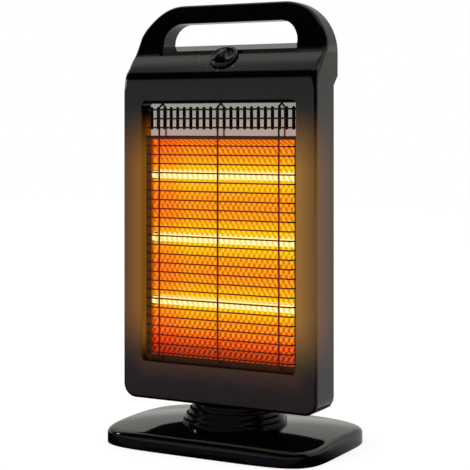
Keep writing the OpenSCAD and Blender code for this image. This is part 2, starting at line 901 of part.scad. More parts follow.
module shell_screws() {
    color([0.5, 0.5, 0.52]) {
        for (x = [-screw_x, screw_x], z = [low_screw_z, high_screw_z]) translate([x, 0, z]) {
            rod_y(side_reach - 12, side_reach + 5 + eps, screw_r - 0.2);
            rod_y(side_reach + 5, side_reach + 7, screw_head_r);
        }
        for (x = [-grip_screw_x, grip_screw_x]) translate([x, 0, grip_screw_z]) {
            rod_y(head_reach - 12, head_reach + eps, screw_r - 0.2);
            rod_y(head_reach, head_reach + 1.5, screw_head_r);
        }
    }
}

// ---------- guard and metalwork ----------

module wire_x(x0, x1, r) {
    translate([x0, 0, 0]) rotate([0, 90, 0]) cylinder(r = r, h = x1 - x0, $fn = 10);
}

module wire_between(a, b, r) {
    d = b - a;
    l = norm(d);
    translate(a) rotate([0, acos(d[2] / l), atan2(d[1], d[0])]) cylinder(r = r, h = l, $fn = 10);
}

module guard_grille() {
    color([0.04, 0.04, 0.04]) {
        for (i = [0:wire_count - 1]) {
            z = wire_low + i * wire_pitch;
            translate([0, guard_y, z]) wire_x(-wire_reach, wire_reach, wire_r);
            for (s = [-1, 1])
                wire_between([s * (wire_reach - 0.6), guard_y - 0.1, z], [s * wire_end, metal_y - wire_r, z], wire_r - 0.05);
        }
        for (i = [-1:1]) {
            x = i * upright_pitch;
            translate([x, upright_y, bend_low]) cylinder(r = upright_r, h = bend_top - bend_low, $fn = 10);
            wire_between([x, upright_y - 0.1, bend_top - 0.7], [x, metal_y - upright_r, bend_top + 6], upright_r - 0.05);
            wire_between([x, upright_y - 0.1, bend_low + 0.7], [x, metal_y - upright_r, bend_low - 4], upright_r - 0.05);
        }
    }
}

module vent_panel() {
    color([0.72, 0.71, 0.7]) difference() {
        along_y(metal_y, metal_y + sheet)
            translate([-metal_reach, reflector_top + fit])
                square([2 * metal_reach, vent_top - reflector_top - fit]);
        along_y(metal_y - 1, metal_y + sheet + 1)
            for (i = [0:slot_count - 1])
                translate([(i - (slot_count - 1) / 2) * slot_pitch, slot_low]) {
                    translate([-slot_w / 2, slot_w / 2]) square([slot_w, slot_h - slot_w]);
                    for (y = [slot_w / 2, slot_h - slot_w / 2]) translate([0, y]) circle(r = slot_w / 2);
                }
    }
}

// the dish, grown outwards by a wall
module dish(wall) {
    y1 = dish_y + wall;
    mouth = mouth_reach + wall;
    floor_reach = mouth_reach - dish_draft + wall;
    intersection() {
        translate([0, 0, mouth_low - 20]) linear_extrude(mouth_h + 40)
            polygon([[-mouth, metal_y], [mouth, metal_y], [floor_reach, y1], [-floor_reach, y1]]);
        along_x(-mouth - 1, mouth + 1) polygon([
            [metal_y, mouth_low - wall],
            [y1, mouth_low + dish_draft - wall],
            [y1, mouth_top - dish_draft + wall],
            [metal_y, mouth_top + wall]
        ]);
    }
}

module lamp_holes(r) {
    for (i = [-1:1]) translate([0, lamp_y, lamp_mid_z + i * lamp_pitch])
        rod_x(-half_w, half_w, r);
}

module reflector() {
    color([0.9, 0.55, 0.2]) difference() {
        union() {
            along_y(metal_y, metal_y + sheet) translate([-metal_reach, metal_low])
                square([2 * metal_reach, reflector_top - metal_low]);
            dish(sheet);
        }
        dish(0);
        intersection() {
            lamp_holes(lamp_r + lamp_hole);
            translate([-mouth_reach - 2, metal_y + sheet, mouth_low])
                cube([2 * mouth_reach + 4, dish_d, mouth_h]);
        }
    }
}

module heat_shield() {
    low = metal_low + 4;
    high = vent_top - 1;
    color([0.6, 0.6, 0.6]) difference() {
        union() {
            translate([-shield_reach, shield_y, low]) cube([2 * shield_reach, sheet, high - low]);
            for (x = [-shield_reach, shield_reach - sheet])
                translate([x, metal_y + sheet + seat, low])
                    cube([sheet, shield_y - metal_y - sheet, high - low]);
        }
        lamp_holes(lamp_r + lamp_hole);
    }
}

module lamp_bracket(s) {
    inner = shield_reach + fit;
    x0 = s < 0 ? -rail_reach : inner;
    color([0.62, 0.62, 0.62]) difference() {
        union() {
            translate([x0, rail_y + seat, rail_low]) cube([rail_reach - inner, sheet, rail_h]);
            translate([s < 0 ? -rail_reach : rail_reach - sheet, rail_y + seat, rail_low])
                cube([sheet, 12, rail_h]);
        }
        for (i = [-1:1]) translate([s * (cap_x + cap_l / 2), 0, lamp_mid_z + i * lamp_pitch])
            rod_y(rail_y - 1, rail_y + sheet + 1, lead_r + 0.5);
    }
}

module lamp_tube(i) {
    color([0.95, 0.9, 0.7, 0.5]) translate([0, lamp_y, lamp_mid_z + (i - 1) * lamp_pitch]) difference() {
        rod_x(-lamp_reach, lamp_reach, lamp_r);
        rod_x(-lamp_reach - 1, lamp_reach + 1, lamp_r - lamp_wall);
    }
}

module filament(i) {
    last = floor((lamp_reach - 5) / disc_pitch);
    color([1, 0.7, 0.3]) translate([0, lamp_y, lamp_mid_z + (i - 1) * lamp_pitch]) {
        rod_x(-lamp_reach, lamp_reach, coil_r);
        for (k = [-last:last]) translate([k * disc_pitch - disc_t / 2, 0, 0])
            rod_x(0, disc_t, lamp_r - lamp_wall - 0.1);
    }
}

module lamp_cap(i) {
    s = i < 3 ? -1 : 1;
    z = lamp_mid_z + (i % 3 - 1) * lamp_pitch;
    x0 = s < 0 ? -cap_x - cap_l : cap_x;
    color([0.9, 0.88, 0.82]) difference() {
        translate([x0, lamp_y - cap_size / 2, z - cap_size / 2]) cube([cap_l, cap_size, cap_size]);
        translate([0, lamp_y, z]) {
            rod_x(min(s * (cap_x - 1), s * (lamp_reach + seat)), max(s * (cap_x - 1), s * (lamp_reach + seat)),
                lamp_r + lamp_fit);
        }
    }
}

module thermal_cutout() {
    color([0.75, 0.73, 0.68]) translate([60, 0, reflector_top + 20]) {
        rod_y(shield_y + sheet + seat, shield_y + sheet + 6, 8);
        rod_y(shield_y + sheet + 5, shield_y + sheet + 10, 5.5);
    }
}

module terminal_block() {
    color([0.9, 0.9, 0.88]) difference() {
        translate([block_x - block_half, block_y + seat, block_z]) cube([2 * block_half, block_d, block_h]);
        for (i = [-2:2]) translate([block_x + i * 9.5, block_y + block_d / 2, block_z + block_h / 2])
            cylinder(r = 2, h = block_h);
    }
}

// ---------- dial ----------

module rotary_switch() {
    color([0.15, 0.15, 0.16]) dial_frame() difference() {
        union() {
            translate([-switch_half_w, -17, -shell - seat - switch_depth])
                cube([2 * switch_half_w, 22, switch_depth]);
            cylinder_between(-shell - seat - eps, nut_t + 0.4, switch_neck_r);
        }
        cylinder_between(shaft_low - 1, nut_t + 1, shaft_r + running);
    }
}

module switch_nut() {
    color([0.65, 0.65, 0.66]) dial_frame() difference() {
        translate([0, 0, seat]) cylinder(r = switch_neck_r + 2.4, h = nut_t - seat, $fn = 6);
        cylinder_between(-1, nut_t + 1, switch_neck_r + seat);
    }
}

module switch_shaft() {
    color([0.8, 0.8, 0.78]) dial_frame() cylinder_between(shaft_low, knob_h - 5, shaft_r);
}

module knob() {
    skirt_h = 4;
    color([0.03, 0.03, 0.03]) dial_frame() difference() {
        union() {
            cylinder_between(knob_gap, skirt_h, knob_r);
            intersection() {
                cylinder_between(skirt_h - eps, knob_h, knob_r - 0.8);
                translate([-blade_w / 2, -knob_r, 0]) cube([blade_w, 2 * knob_r, knob_h]);
                translate([0, 0, knob_h - 34]) rod_x(-knob_r, knob_r, 34);
            }
            intersection() {
                cylinder_between(skirt_h - eps, skirt_h + 2.5, knob_r - 1.5);
                translate([0, 0, skirt_h + 2.5 - 60]) sphere(r = 60, $fn = 96);
            }
        }
        cylinder_between(0, nut_t + 0.8, switch_neck_r + 3);
        cylinder_between(0, knob_h - 5 + seat, shaft_r + seat / 2);
    }
}

// ---------- inner leads ----------

module lead_switch() {
    y = block_y + block_d / 2;
    color([0.1, 0.2, 0.6]) tube_along([
        [block_x, y, block_z + block_h - 6],
        [block_x, y, block_z + 50],
        [switch_lead_x, -6, block_z + window_h / 3],
        [switch_lead_x, -6, slope_z - 60],
        [(switch_lead_x - switch_half_w) / 2 - 12, -7, slope_z - 18],
        [-switch_half_w - 12, dial_y + 14, dial_z - 14],
        [-switch_half_w, dial_y + 14, dial_z - 14]
    ], lead_r, [0.2, 1, 0.1]);
}

module lead_lamps(s) {
    x = s * (cap_x + cap_l / 2);
    start_x = block_x + s * 19;
    y = block_y + block_d / 2;
    top = lamp_mid_z + lamp_pitch;
    color([0.75, 0.15, 0.1]) {
        tube_along([
            [start_x, y, block_z + block_h - 6],
            [start_x, y, block_z + 26],
            [start_x + s * 16, y, block_z + 34],
            [s * (half_w - 35.5), -5, block_z + 38],
            [x, -8, block_z + 50],
            [x, -8, lamp_mid_z],
            [x, -8, top - 14],
            [x, rail_y + 10, top],
            [x, rail_y + 2, top],
            [x, rail_y + seat, top]
        ], lead_r, s < 0 ? [0.3, 0.2, 1] : [-0.3, 0.2, 1]);
        for (i = [-1, 0]) translate([x, 0, lamp_mid_z + i * lamp_pitch])
            rod_y(rail_y + seat, -8, lead_r - 0.2);
    }
}

module lead_motor() {
    x = block_x + 9.5;
    y = block_y + block_d / 2;
    color([0.2, 0.5, 0.2]) tube_along([
        [x, y, block_z + block_h - 6],
        [x, y, block_z + 26],
        [block_x + 40, 10, block_z + 24],
        [drive_reach, 12, block_z + 18],
        [drive_reach, 12, motor_low + motor_h + 6],
        [drive_reach, 12, motor_low + motor_h]
    ], lead_r, [0.1, 1, 0.2]);
}

module lead_supply_base() {
    color([0.03, 0.03, 0.03]) tube_along([
        [0, base_d / 2 - gland_l - 0.4, gland_z],
        [0, base_d / 2 - gland_l - 12, gland_z],
        [0, tube_r + 14, lead_hole_z],
        [0, tube_r + 3, lead_hole_z],
        [0, 2, lead_hole_z],
        [0, 0, lead_hole_z + 10],
        [0, 0, arm_top - 3]
    ], supply_r, [1, 0.05, 0]);
}

module lead_supply_head() {
    x = block_x - 9.5;
    y = block_y + block_d / 2;
    color([0.03, 0.03, 0.03]) tube_along([
        [0, 0, arm_top + 0.4],
        [-2, 1, arm_top + 12],
        [-30, 14, arm_top + 22],
        [-45, 22, block_z - 4],
        [-58, 20, block_z + block_h + 6],
        [x, y + 4, block_z + block_h + 14],
        [x, y, block_z + block_h + 6],
        [x, y, block_z + block_h - 6]
    ], lead_r + 0.3, [0.3, 1, 0.1]);
}

// ---------- the heater ----------

base_cover();
base_plate();
for (i = [0:3]) rubber_foot(i);
base_screws();
cord_gland();
neck_collar();
slip_washer();
pivot_tube();
tube_screws();
retainer_washer();
retainer_nut();
slotted_arm();
tip_switch();
switch_bracket();
tip_plunger();
plunger_spring();
turntable();
swivel_bush();
swivel_screws();
bottom_bracket();
motor_bracket();
swivel_motor();
motor_shaft();
crank_disc();
front_shell();
rear_shell();
shell_screws();
guard_grille();
vent_panel();
reflector();
heat_shield();
lamp_bracket(-1);  // lamp_bracket_left
lamp_bracket(1);  // lamp_bracket_right
for (i = [0:2]) lamp_tube(i);
for (i = [0:2]) filament(i);
for (i = [0:5]) lamp_cap(i);
thermal_cutout();
terminal_block();
rotary_switch();
switch_nut();
switch_shaft();
knob();
lead_switch();
lead_lamps(-1);  // lead_lamps_left
lead_lamps(1);  // lead_lamps_right
lead_motor();
lead_supply_base();
lead_supply_head();
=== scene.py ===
import bpy
import bmesh
import math
from mathutils import Vector, Matrix


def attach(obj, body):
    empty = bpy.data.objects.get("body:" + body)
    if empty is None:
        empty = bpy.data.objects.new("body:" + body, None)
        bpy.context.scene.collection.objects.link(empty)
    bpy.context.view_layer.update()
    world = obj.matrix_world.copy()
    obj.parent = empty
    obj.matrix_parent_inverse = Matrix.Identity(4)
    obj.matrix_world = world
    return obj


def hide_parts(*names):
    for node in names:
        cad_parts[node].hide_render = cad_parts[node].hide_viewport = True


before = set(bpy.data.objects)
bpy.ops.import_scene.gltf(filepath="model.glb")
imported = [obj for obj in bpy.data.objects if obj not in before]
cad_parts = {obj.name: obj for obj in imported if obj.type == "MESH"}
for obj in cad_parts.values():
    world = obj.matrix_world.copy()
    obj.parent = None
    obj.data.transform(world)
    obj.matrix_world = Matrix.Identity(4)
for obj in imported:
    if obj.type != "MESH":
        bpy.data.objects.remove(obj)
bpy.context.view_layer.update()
print("frame loaded:", len(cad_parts), "nodes")
mm = 0.001  # pieces are laid out in millimetres, finishes and the stage in metres
spare = 5.0  # how far a cutting tool reaches past what it cuts

# the camera stands right of the heater, level, with its picture shifted down
shot = {"place": (0.807, -1.468, 0.386), "turn": 28.8, "lens": 104.86, "sensor": 36, "shiftDown": 0.232,
        "far": 50}
bpy.ops.object.camera_add(location=shot["place"], rotation=(math.pi / 2, 0, math.radians(shot["turn"])))
camera = bpy.context.object
camera.name = "camera"
camera.data.sensor_width = shot["sensor"]
camera.data.lens = shot["lens"]
camera.data.shift_y = -shot["shiftDown"]
camera.data.clip_end = shot["far"]
bpy.context.scene.camera = camera
bpy.context.scene.view_settings.view_transform = "Standard"


def deselectAll():
    if bpy.context.mode != "OBJECT":
        bpy.ops.object.mode_set(mode="OBJECT")
    bpy.ops.object.select_all(action="DESELECT")


def pick(*pieces):
    deselectAll()
    for piece in pieces:
        piece.select_set(True)
    bpy.context.view_layer.objects.active = pieces[0]


def editAll(piece):
    pick(piece)
    bpy.ops.object.mode_set(mode="EDIT")
    bpy.ops.mesh.select_all(action="SELECT")


# ends an edit, with all faces pointing outwards
def closeForm():
    bpy.ops.mesh.select_all(action="SELECT")
    bpy.ops.mesh.normals_make_consistent(inside=False)
    bpy.ops.object.mode_set(mode="OBJECT")


def applyAll(piece):
    pick(piece)
    for modifier in list(piece.modifiers):
        bpy.ops.object.modifier_apply(modifier=modifier.name)


def freeze(piece):
    pick(piece)
    bpy.ops.object.transform_apply(location=True, rotation=True, scale=True)


def remove(piece):
    pick(piece)
    bpy.ops.object.delete()


def smooth(piece, degrees):
    pick(piece)
    bpy.ops.object.shade_smooth_by_angle(angle=math.radians(degrees))


def evenNormals(piece):
    modifier = piece.modifiers.new("weighted", "WEIGHTED_NORMAL")
    modifier.keep_sharp = True
    modifier.weight = 80
    applyAll(piece)


def cut(piece, tool, operation="DIFFERENCE"):
    modifier = piece.modifiers.new("cut", "BOOLEAN")
    modifier.operation = operation
    modifier.object = tool
    modifier.solver = "EXACT"
    applyAll(piece)
    remove(tool)


def joinPieces(name, pieces):
    pick(*pieces)
    bpy.ops.object.join()
    bpy.context.object.name = name
    return bpy.context.object


def copyMoved(piece, x=0.0, y=0.0, z=0.0):
    twin = piece.copy()
    twin.data = piece.data.copy()
    twin.data.transform(Matrix.Translation((x * mm, y * mm, z * mm)))
    bpy.context.collection.objects.link(twin)
    return twin


def ease(value, start, end):
    t = min(1.0, max(0.0, (value - start) / (end - start)))
    return t * t * (3 - 2 * t)


def meshPiece(name, points, edges, faces):
    mesh = bpy.data.meshes.new(name)
    mesh.from_pydata([(x * mm, y * mm, z * mm) for x, y, z in points], edges, faces)
    piece = bpy.data.objects.new(name, mesh)
    bpy.context.collection.objects.link(piece)
    return piece


# a flat outline, pushed along one axis
def prism(name, points, axis, low, high):
    bpy.ops.mesh.primitive_circle_add(vertices=len(points), radius=1, fill_type="NGON")
    piece = bpy.context.object
    piece.name = name
    for vertex, (a, b) in zip(piece.data.vertices, points):
        vertex.co = {"x": (low, a, b), "y": (a, low, b), "z": (a, b, low)}[axis]
        vertex.co *= mm
    step = Vector({"x": (1, 0, 0), "y": (0, 1, 0), "z": (0, 0, 1)}[axis]) * (high - low) * mm
    editAll(piece)
    bpy.ops.mesh.extrude_region_move(TRANSFORM_OT_translate={"value": step})
    closeForm()
    return piece


def block(name, low, high):
    bpy.ops.mesh.primitive_cube_add(size=1, location=[(a + b) / 2 * mm for a, b in zip(low, high)])
    piece = bpy.context.object
    piece.name = name
    piece.scale = [(b - a) * mm for a, b in zip(low, high)]
    freeze(piece)
    return piece


# a profile (radius, height) spun round the upright axis
def turned(name, profile, steps):
    edges = [(i, i + 1) for i in range(len(profile) - 1)]
    piece = meshPiece(name, [(radius, 0.0, height) for radius, height in profile], edges, [])
    editAll(piece)
    bpy.ops.mesh.spin(steps=steps, angle=2 * math.pi, center=(0, 0, 0), axis=(0, 0, 1))
    bpy.ops.mesh.select_all(action="SELECT")
    bpy.ops.mesh.remove_doubles(threshold=0.02 * mm)
    closeForm()
    return piece


def arc(cx, cy, radius, start, end, steps):
    angles = [math.radians(start + (end - start) * i / steps) for i in range(steps + 1)]
    return [(cx + radius * math.cos(a), cy + radius * math.sin(a)) for a in angles]


def roundedRect(x0, x1, y0, y1, lowRadius, highRadius, steps=12):
    points = arc(x1 - lowRadius, y0 + lowRadius, lowRadius, -90, 0, steps)
    points += arc(x1 - highRadius, y1 - highRadius, highRadius, 0, 90, steps * 2)
    points += arc(x0 + highRadius, y1 - highRadius, highRadius, 90, 180, steps * 2)
    points += arc(x0 + lowRadius, y0 + lowRadius, lowRadius, 180, 270, steps)
    return points


# rounds edges sharper than an angle; shareAt gives each its share of the width, from the edge's middle point
def roundEdges(piece, width, segments, shareAt, sharper):
    work = bmesh.new()
    work.from_mesh(piece.data)
    floats = work.edges.layers.float
    layer = floats.get("bevel_weight_edge") or floats.new("bevel_weight_edge")
    for edge in work.edges:
        share = 0.0
        if len(edge.link_faces) == 2 and math.degrees(edge.calc_face_angle(0)) > sharper:
            share = shareAt((edge.verts[0].co + edge.verts[1].co) / 2 / mm)
        edge[layer] = share
    work.to_mesh(piece.data)
    work.free()
    modifier = piece.modifiers.new("round", "BEVEL")
    modifier.limit_method = "WEIGHT"
    modifier.width = width * mm
    modifier.segments = segments
    applyAll(piece)


def newMaterial(name):
    material = bpy.data.materials.new(name)
    material.use_nodes = True
    return material, material.node_tree, shaderOf(material)


def shaderOf(material):
    return material.node_tree.nodes["Principled BSDF"]


def sums(tree, operation, a, b=0.0):
    node = tree.nodes.new("ShaderNodeMath")
    node.operation = operation
    for socket, value in zip(node.inputs, (a, b)):
        if isinstance(value, (int, float)):
            socket.default_value = value
        else:
            tree.links.new(value, socket)
    return node.outputs[0]


def times(tree, total, *values):
    for value in values:
        total = sums(tree, "MULTIPLY", total, value)
    return total


def plus(tree, total, *values):
    for value in values:
        total = sums(tree, "ADD", total, value)
    return total


def less(tree, a, b):
    return sums(tree, "SUBTRACT", a, b)


def fade(tree, value, start, end, low=0.0, high=1.0):
    node = tree.nodes.new("ShaderNodeMapRange")
    node.interpolation_type = "SMOOTHSTEP"
    tree.links.new(value, node.inputs["Value"])
    for name, number in (("From Min", start), ("From Max", end), ("To Min", low), ("To Max", high)):
        node.inputs[name].default_value = number
    return node.outputs["Result"]


def objectCoords(tree):
    return tree.nodes.new("ShaderNodeTexCoord").outputs["Object"]


# x, y and z on the piece
def objectPlace(tree):
    place = tree.nodes.new("ShaderNodeSeparateXYZ")
    tree.links.new(objectCoords(tree), place.inputs[0])
    return place.outputs


def noise(tree, coords, scale, detail=3.0, stretch=None):
    if stretch:
        mapping = tree.nodes.new("ShaderNodeMapping")
        mapping.inputs["Scale"].default_value = stretch
        tree.links.new(coords, mapping.inputs["Vector"])
        coords = mapping.outputs["Vector"]
    node = tree.nodes.new("ShaderNodeTexNoise")
    node.inputs["Scale"].default_value = scale
    node.inputs["Detail"].default_value = detail
    tree.links.new(coords, node.inputs["Vector"])
    return node.outputs["Fac"]


def ramp(tree, value, stops):
    node = tree.nodes.new("ShaderNodeValToRGB")
    elements = node.color_ramp.elements
    for element, (position, colour) in ((elements[0], stops[0]), (elements[1], stops[-1])):
        element.position = position
        element.color = (*colour, 1)
    for position, colour in stops[1:-1]:
        elements.new(position).color = (*colour, 1)
    tree.links.new(value, node.inputs["Fac"])
    return node.outputs["Color"]


def bumpFrom(tree, shader, height, strength, distance):
    node = tree.nodes.new("ShaderNodeBump")
    node.inputs["Strength"].default_value = strength
    node.inputs["Distance"].default_value = distance
    tree.links.new(height, node.inputs["Height"])
    tree.links.new(node.outputs["Normal"], shader.inputs["Normal"])


# how far a finish wanders: between which clouds, how much smoother and rougher, how fine and high its grain is
surface = {"clouds": (0.3, 0.7), "roughClouds": (0.25, 0.75), "smoother": 0.85, "rougher": 1.2, "finer": 14,
           "grainHeight": 0.0004}


# a moulded or plated finish: colour and roughness both wander a little, with a fine grain
def finish(name, colour, roughness, metallic=0.0, grain=60.0, depth=0.05, wander=0.12, streak=None):
    material, tree, shader = newMaterial(name)
    coords = objectCoords(tree)
    cloudy = noise(tree, coords, grain, 3.0, streak)
    fine = noise(tree, coords, grain * surface["finer"], 2.0, streak)
    dark = [c * (1 - wander) for c in colour]
    light = [min(1.0, c * (1 + wander)) for c in colour]
    tints = ramp(tree, cloudy, list(zip(surface["clouds"], (dark, light))))
    least, most = roughness * surface["smoother"], roughness * surface["rougher"]
    rough = fade(tree, cloudy, *surface["roughClouds"], least, most)
    tree.links.new(tints, shader.inputs["Base Color"])
    tree.links.new(rough, shader.inputs["Roughness"])
    shader.inputs["Metallic"].default_value = metallic
    bumpFrom(tree, shader, fine, depth, surface["grainHeight"])
    return material


def paint(piece, *materials):
    piece.data.materials.clear()
    for material in materials:
        piece.data.materials.append(material)


def tinted(tree, mask, colour):
    node = tree.nodes.new("ShaderNodeVectorMath")
    node.operation = "SCALE"
    node.inputs[0].default_value = colour
    tree.links.new(mask, node.inputs["Scale"])
    return node.outputs[0]


def addColours(tree, colours):
    total = colours[0]
    for colour in colours[1:]:
        node = tree.nodes.new("ShaderNodeVectorMath")
        tree.links.new(total, node.inputs[0])
        tree.links.new(colour, node.inputs[1])
        total = node.outputs[0]
    return total


def glowBy(material, colour):
    shader = shaderOf(material)
    material.node_tree.links.new(colour, shader.inputs["Emission Color"])
    shader.inputs["Emission Strength"].default_value = 1.0


# painted light of the lamps on the front shell, each fade from its first place to its second: the frame's front
# and sides, the window's inner wall, the frame below the window and the window's lower lip
lampLightFades = {
    "rise": (0.09, 0.17), "fall": (0.415, 0.325), "ahead": (-0.0425, -0.0465),
    "middle": (0.136, 0.104, 0.55, 1.3), "rightHalf": (-0.02, 0.02), "side": (0.1300, 0.1313),
    "sideFront": (-0.0465, -0.0435), "sideDepth": (0.008, -0.045, 0.35, 1.15),
    "wall": (0.1083, 0.1076), "wallDepth": (-0.0462, -0.0445),
    "wallTop": (0.405, 0.338), "wallFoot": (0.0968, 0.135), "below": (0.17, 0.09), "foot": (0.053, 0.059),
    "lipRise": (0.070, 0.098), "lipFall": (0.106, 0.098), "lipReach": (0.125, 0.100),
}
lampLightTints = {
    "left": (0.166, 0.059, 0.0), "right": (0.21, 0.094, 0.008), "sides": (0.096, 0.032, 0.003),
    "wall": (0.185, 0.075, 0.006), "panel": (0.005, 0.0005, 0.0), "lip": (0.026, 0.010, 0.0036),
}


# a shell finish with the lamps' light painted on as emission
def bodyFinish(name, colour, roughness, grain, depth):
    material = finish(name, colour, roughness, 0.0, grain, depth, 0.1)
    tree = material.node_tree
    x, y, z = objectPlace(tree)
    across = sums(tree, "ABSOLUTE", x)

    def within(value, key):
        return fade(tree, value, *lampLightFades[key])

    heights = times(tree, within(z, "rise"), within(z, "fall"))
    ahead, rightHalf = within(y, "ahead"), within(x, "rightHalf")
    sides = times(tree, heights, within(across, "side"), within(y, "sideFront"), within(y, "sideDepth"))
    wall = times(tree, within(across, "wall"), within(y, "wallDepth"), within(z, "wallTop"),
                 within(z, "wallFoot"))
    front = times(tree, heights, ahead, within(across, "middle"), less(tree, 1.0, wall))
    masks = {
        "left": times(tree, front, less(tree, 1.0, rightHalf)),
        "right": times(tree, front, rightHalf),
        "sides": sides,
        "wall": wall,
        "panel": times(tree, within(z, "below"), within(z, "foot"), ahead),
        "lip": times(tree, within(z, "lipRise"), within(z, "lipFall"), ahead, within(across, "lipReach")),
    }
    glowBy(material, addColours(tree, [tinted(tree, mask, lampLightTints[key]) for key, mask in masks.items()]))
    return material


glossBlack = bodyFinish("glossBlack", (0.0008, 0.0008, 0.0008), 0.07, 45.0, 0.02)
panelBlack = bodyFinish("panelBlack", (0.0070, 0.0073, 0.0095), 0.16, 60.0, 0.04)
# painted shade: dull black for the faces underneath, the ledge's riser and the return's upper lip
dullShadeBlack = finish("dullShadeBlack", (0.002, 0.002, 0.002), 0.8, 0.0, 90.0, 0.1)
shaderOf(dullShadeBlack).inputs["Specular IOR Level"].default_value = 0.1
baseBlack = finish("baseBlack", (0.0008, 0.0008, 0.0008), 0.06, 0.0, 45.0, 0.02, 0.1)
neckBlack = finish("neckBlack", (0.0008, 0.0008, 0.0008), 0.07, 0.0, 45.0, 0.02, 0.1)
shaderOf(neckBlack).inputs["Specular IOR Level"].default_value = 0.22
satinBlack = finish("satinBlack", (0.012, 0.012, 0.012), 0.32, 0.0, 80.0, 0.12)
knobBlack = finish("knobBlack", (0.0015, 0.0015, 0.0015), 0.09, 0.0, 90.0, 0.02)
wireBlack = finish("wireBlack", (0.006, 0.004, 0.004), 0.3, 0.3, 120.0, 0.05)
sheetSteel = finish("sheetSteel", (0.62, 0.62, 0.6), 0.34, 1.0, 40.0, 0.06, 0.1, (1.0, 1.0, 0.15))
brightSheet = finish("brightSheet", (0.86, 0.84, 0.80), 0.14, 1.0, 30.0, 0.02, 0.04, (0.2, 1.0, 1.0))
plainSteel = finish("plainSteel", (0.55, 0.55, 0.56), 0.28, 1.0, 160.0, 0.05)
darkPlate = finish("darkPlate", (0.02, 0.02, 0.02), 0.45, 0.4, 60.0, 0.1)
# painted shade: the heat shield behind the vent slots is near black, so the slots read dark
shieldShadeBlack = finish("shieldShadeBlack", (0.003, 0.003, 0.003), 0.8, 0.0, 90.0, 0.1)
# painted light: the reflector's rim is a brown metal tone with the lamps' light painted on
lampLitRim = finish("lampLitRim", (0.10, 0.035, 0.018), 0.35, 0.7, 50.0, 0.05, 0.2)
footRubber = finish("footRubber", (0.02, 0.02, 0.02), 0.75, 0.0, 200.0, 0.2)
nylonWhite = finish("nylonWhite", (0.72, 0.71, 0.66), 0.45, 0.0, 90.0, 0.08)
phenolic = finish("phenolic", (0.03, 0.028, 0.026), 0.4, 0.0, 120.0, 0.1)
ceramicWhite = finish("ceramicWhite", (0.78, 0.75, 0.68), 0.6, 0.0, 220.0, 0.15)
leadBlue = finish("leadBlue", (0.03, 0.08, 0.4), 0.45, 0.0, 150.0, 0.05)
leadRed = finish("leadRed", (0.4, 0.04, 0.03), 0.45, 0.0, 150.0, 0.05)
leadGreen = finish("leadGreen", (0.06, 0.25, 0.06), 0.45, 0.0, 150.0, 0.05)
leadBlack = finish("leadBlack", (0.015, 0.015, 0.015), 0.5, 0.0, 150.0, 0.05)
markPale = finish("markPale", (0.13, 0.13, 0.125), 0.5, 0.0, 150.0, 0.02)


# painted light: the slotted sheet above the reflector is lit by the lamps along its lower edge, as emission
def warmEdge(material, start, end, tint):
    tree = material.node_tree
    glowBy(material, tinted(tree, fade(tree, objectPlace(tree)[2], start, end), tint))


warmEdge(brightSheet, start=0.402, end=0.384, tint=(0.10, 0.012, 0.0))


# painted light: wires and the reflector's rim take one colour of the lamps' light behind them within a reach,
# and another beyond it, as emission
lampLightBand = {"top": (0.376, 0.366), "foot": (0.103, 0.145, 0.35, 1.0), "soft": 0.001}


def warmByReach(material, reach, inner, outer):
    tree = material.node_tree
    x, y, z = objectPlace(tree)
    across = sums(tree, "ABSOLUTE", x)
    end = reach + lampLightBand["soft"]
    heights = times(tree, fade(tree, z, *lampLightBand["top"]), fade(tree, z, *lampLightBand["foot"]))
    within = times(tree, heights, fade(tree, across, end, reach))
    beyond = times(tree, heights, fade(tree, across, reach, end))
    glowBy(material, addColours(tree, [tinted(tree, within, inner), tinted(tree, beyond, outer)]))


warmByReach(wireBlack, reach=0.093, inner=(0.13, 0.008, 0.0), outer=(0.003, 0.001, 0.0))
warmByReach(lampLitRim, reach=0.0975, inner=(0.004, 0.001, 0.0), outer=(0.055, 0.018, 0.002))
print("finishes made")


# front shell: window frame, slanted panel and arched handle; levels are where its rings bend, and edges are
# how far it is rounded
shell = {
    "half": 132.5, "low": 50.95, "top": 535.45, "cornerRadius": 17.0, "archRadius": 63.0, "wall": 2.5,
    "front": -47.0, "rollStart": 441.9, "rollRadius": 16.0, "panelSwell": 0.4, "slopeTop": 480.5,
    "blendRadius": 32.0, "handleFront": -15.0, "lean": 7.0, "leanFull": 525.0,
    "sideBack": 1.0, "headBack": 12.0, "stepHeight": 433.95, "stepRise": 11.5,
    "lowEdge": 3.8, "archEdge": 5.0, "archEdgeRise": (462.0, 500.0), "rearEdge": 0.6, "openingEdge": 3.0,
    "panelEdge": 3.6, "panelEdgeRise": (426.0, 447.0), "panelEdgeFall": (455.0, 471.0),
    "sideLevels": (200.0, 320.0, 426.0, 430.0, 438.0), "slantLow": 452.4,
    "blendLevels": (-7.5, -6.0, -4.5, -3.0, -1.5, 0.0, 1.5, 3.0, 4.5, 6.0, 7.5, 9.0, 11.0),
    "windowHalf": 106.0, "windowLow": 96.95, "windowHigh": 416.95, "windowRadius": 6.0,
    "returnBack": -35.5, "returnWall": 2.0,
    "browFront": -43.0, "browBack": -35.6, "browLow": 413.4, "browHigh": 419.0,
    "gripHalf": 92.5, "gripRadius": 25.0, "gripTop": 512.45, "gripFloor": 478.8, "gripRise": 7.3,
    "gripLow": 10.0, "gripLowRadius": 2.0, "gripAhead": 20.0, "gripWallPast": 8.0,
    "ledge": 473.0, "ledgeBack": -17.0, "ledgeHalf": 95.5, "ledgeDepth": 18.0, "ledgeHeight": 20.0,
    "rounded": {"gripFront": 1.0, "ledge": 0.8, "gripBack": 0.5, "window": 0.35},
}


# how far the slanted panel swells at a place along it, 0 at its foot and 1 at its top
def swellAt(share):
    return shell["panelSwell"] * 4 * share * (1 - share)


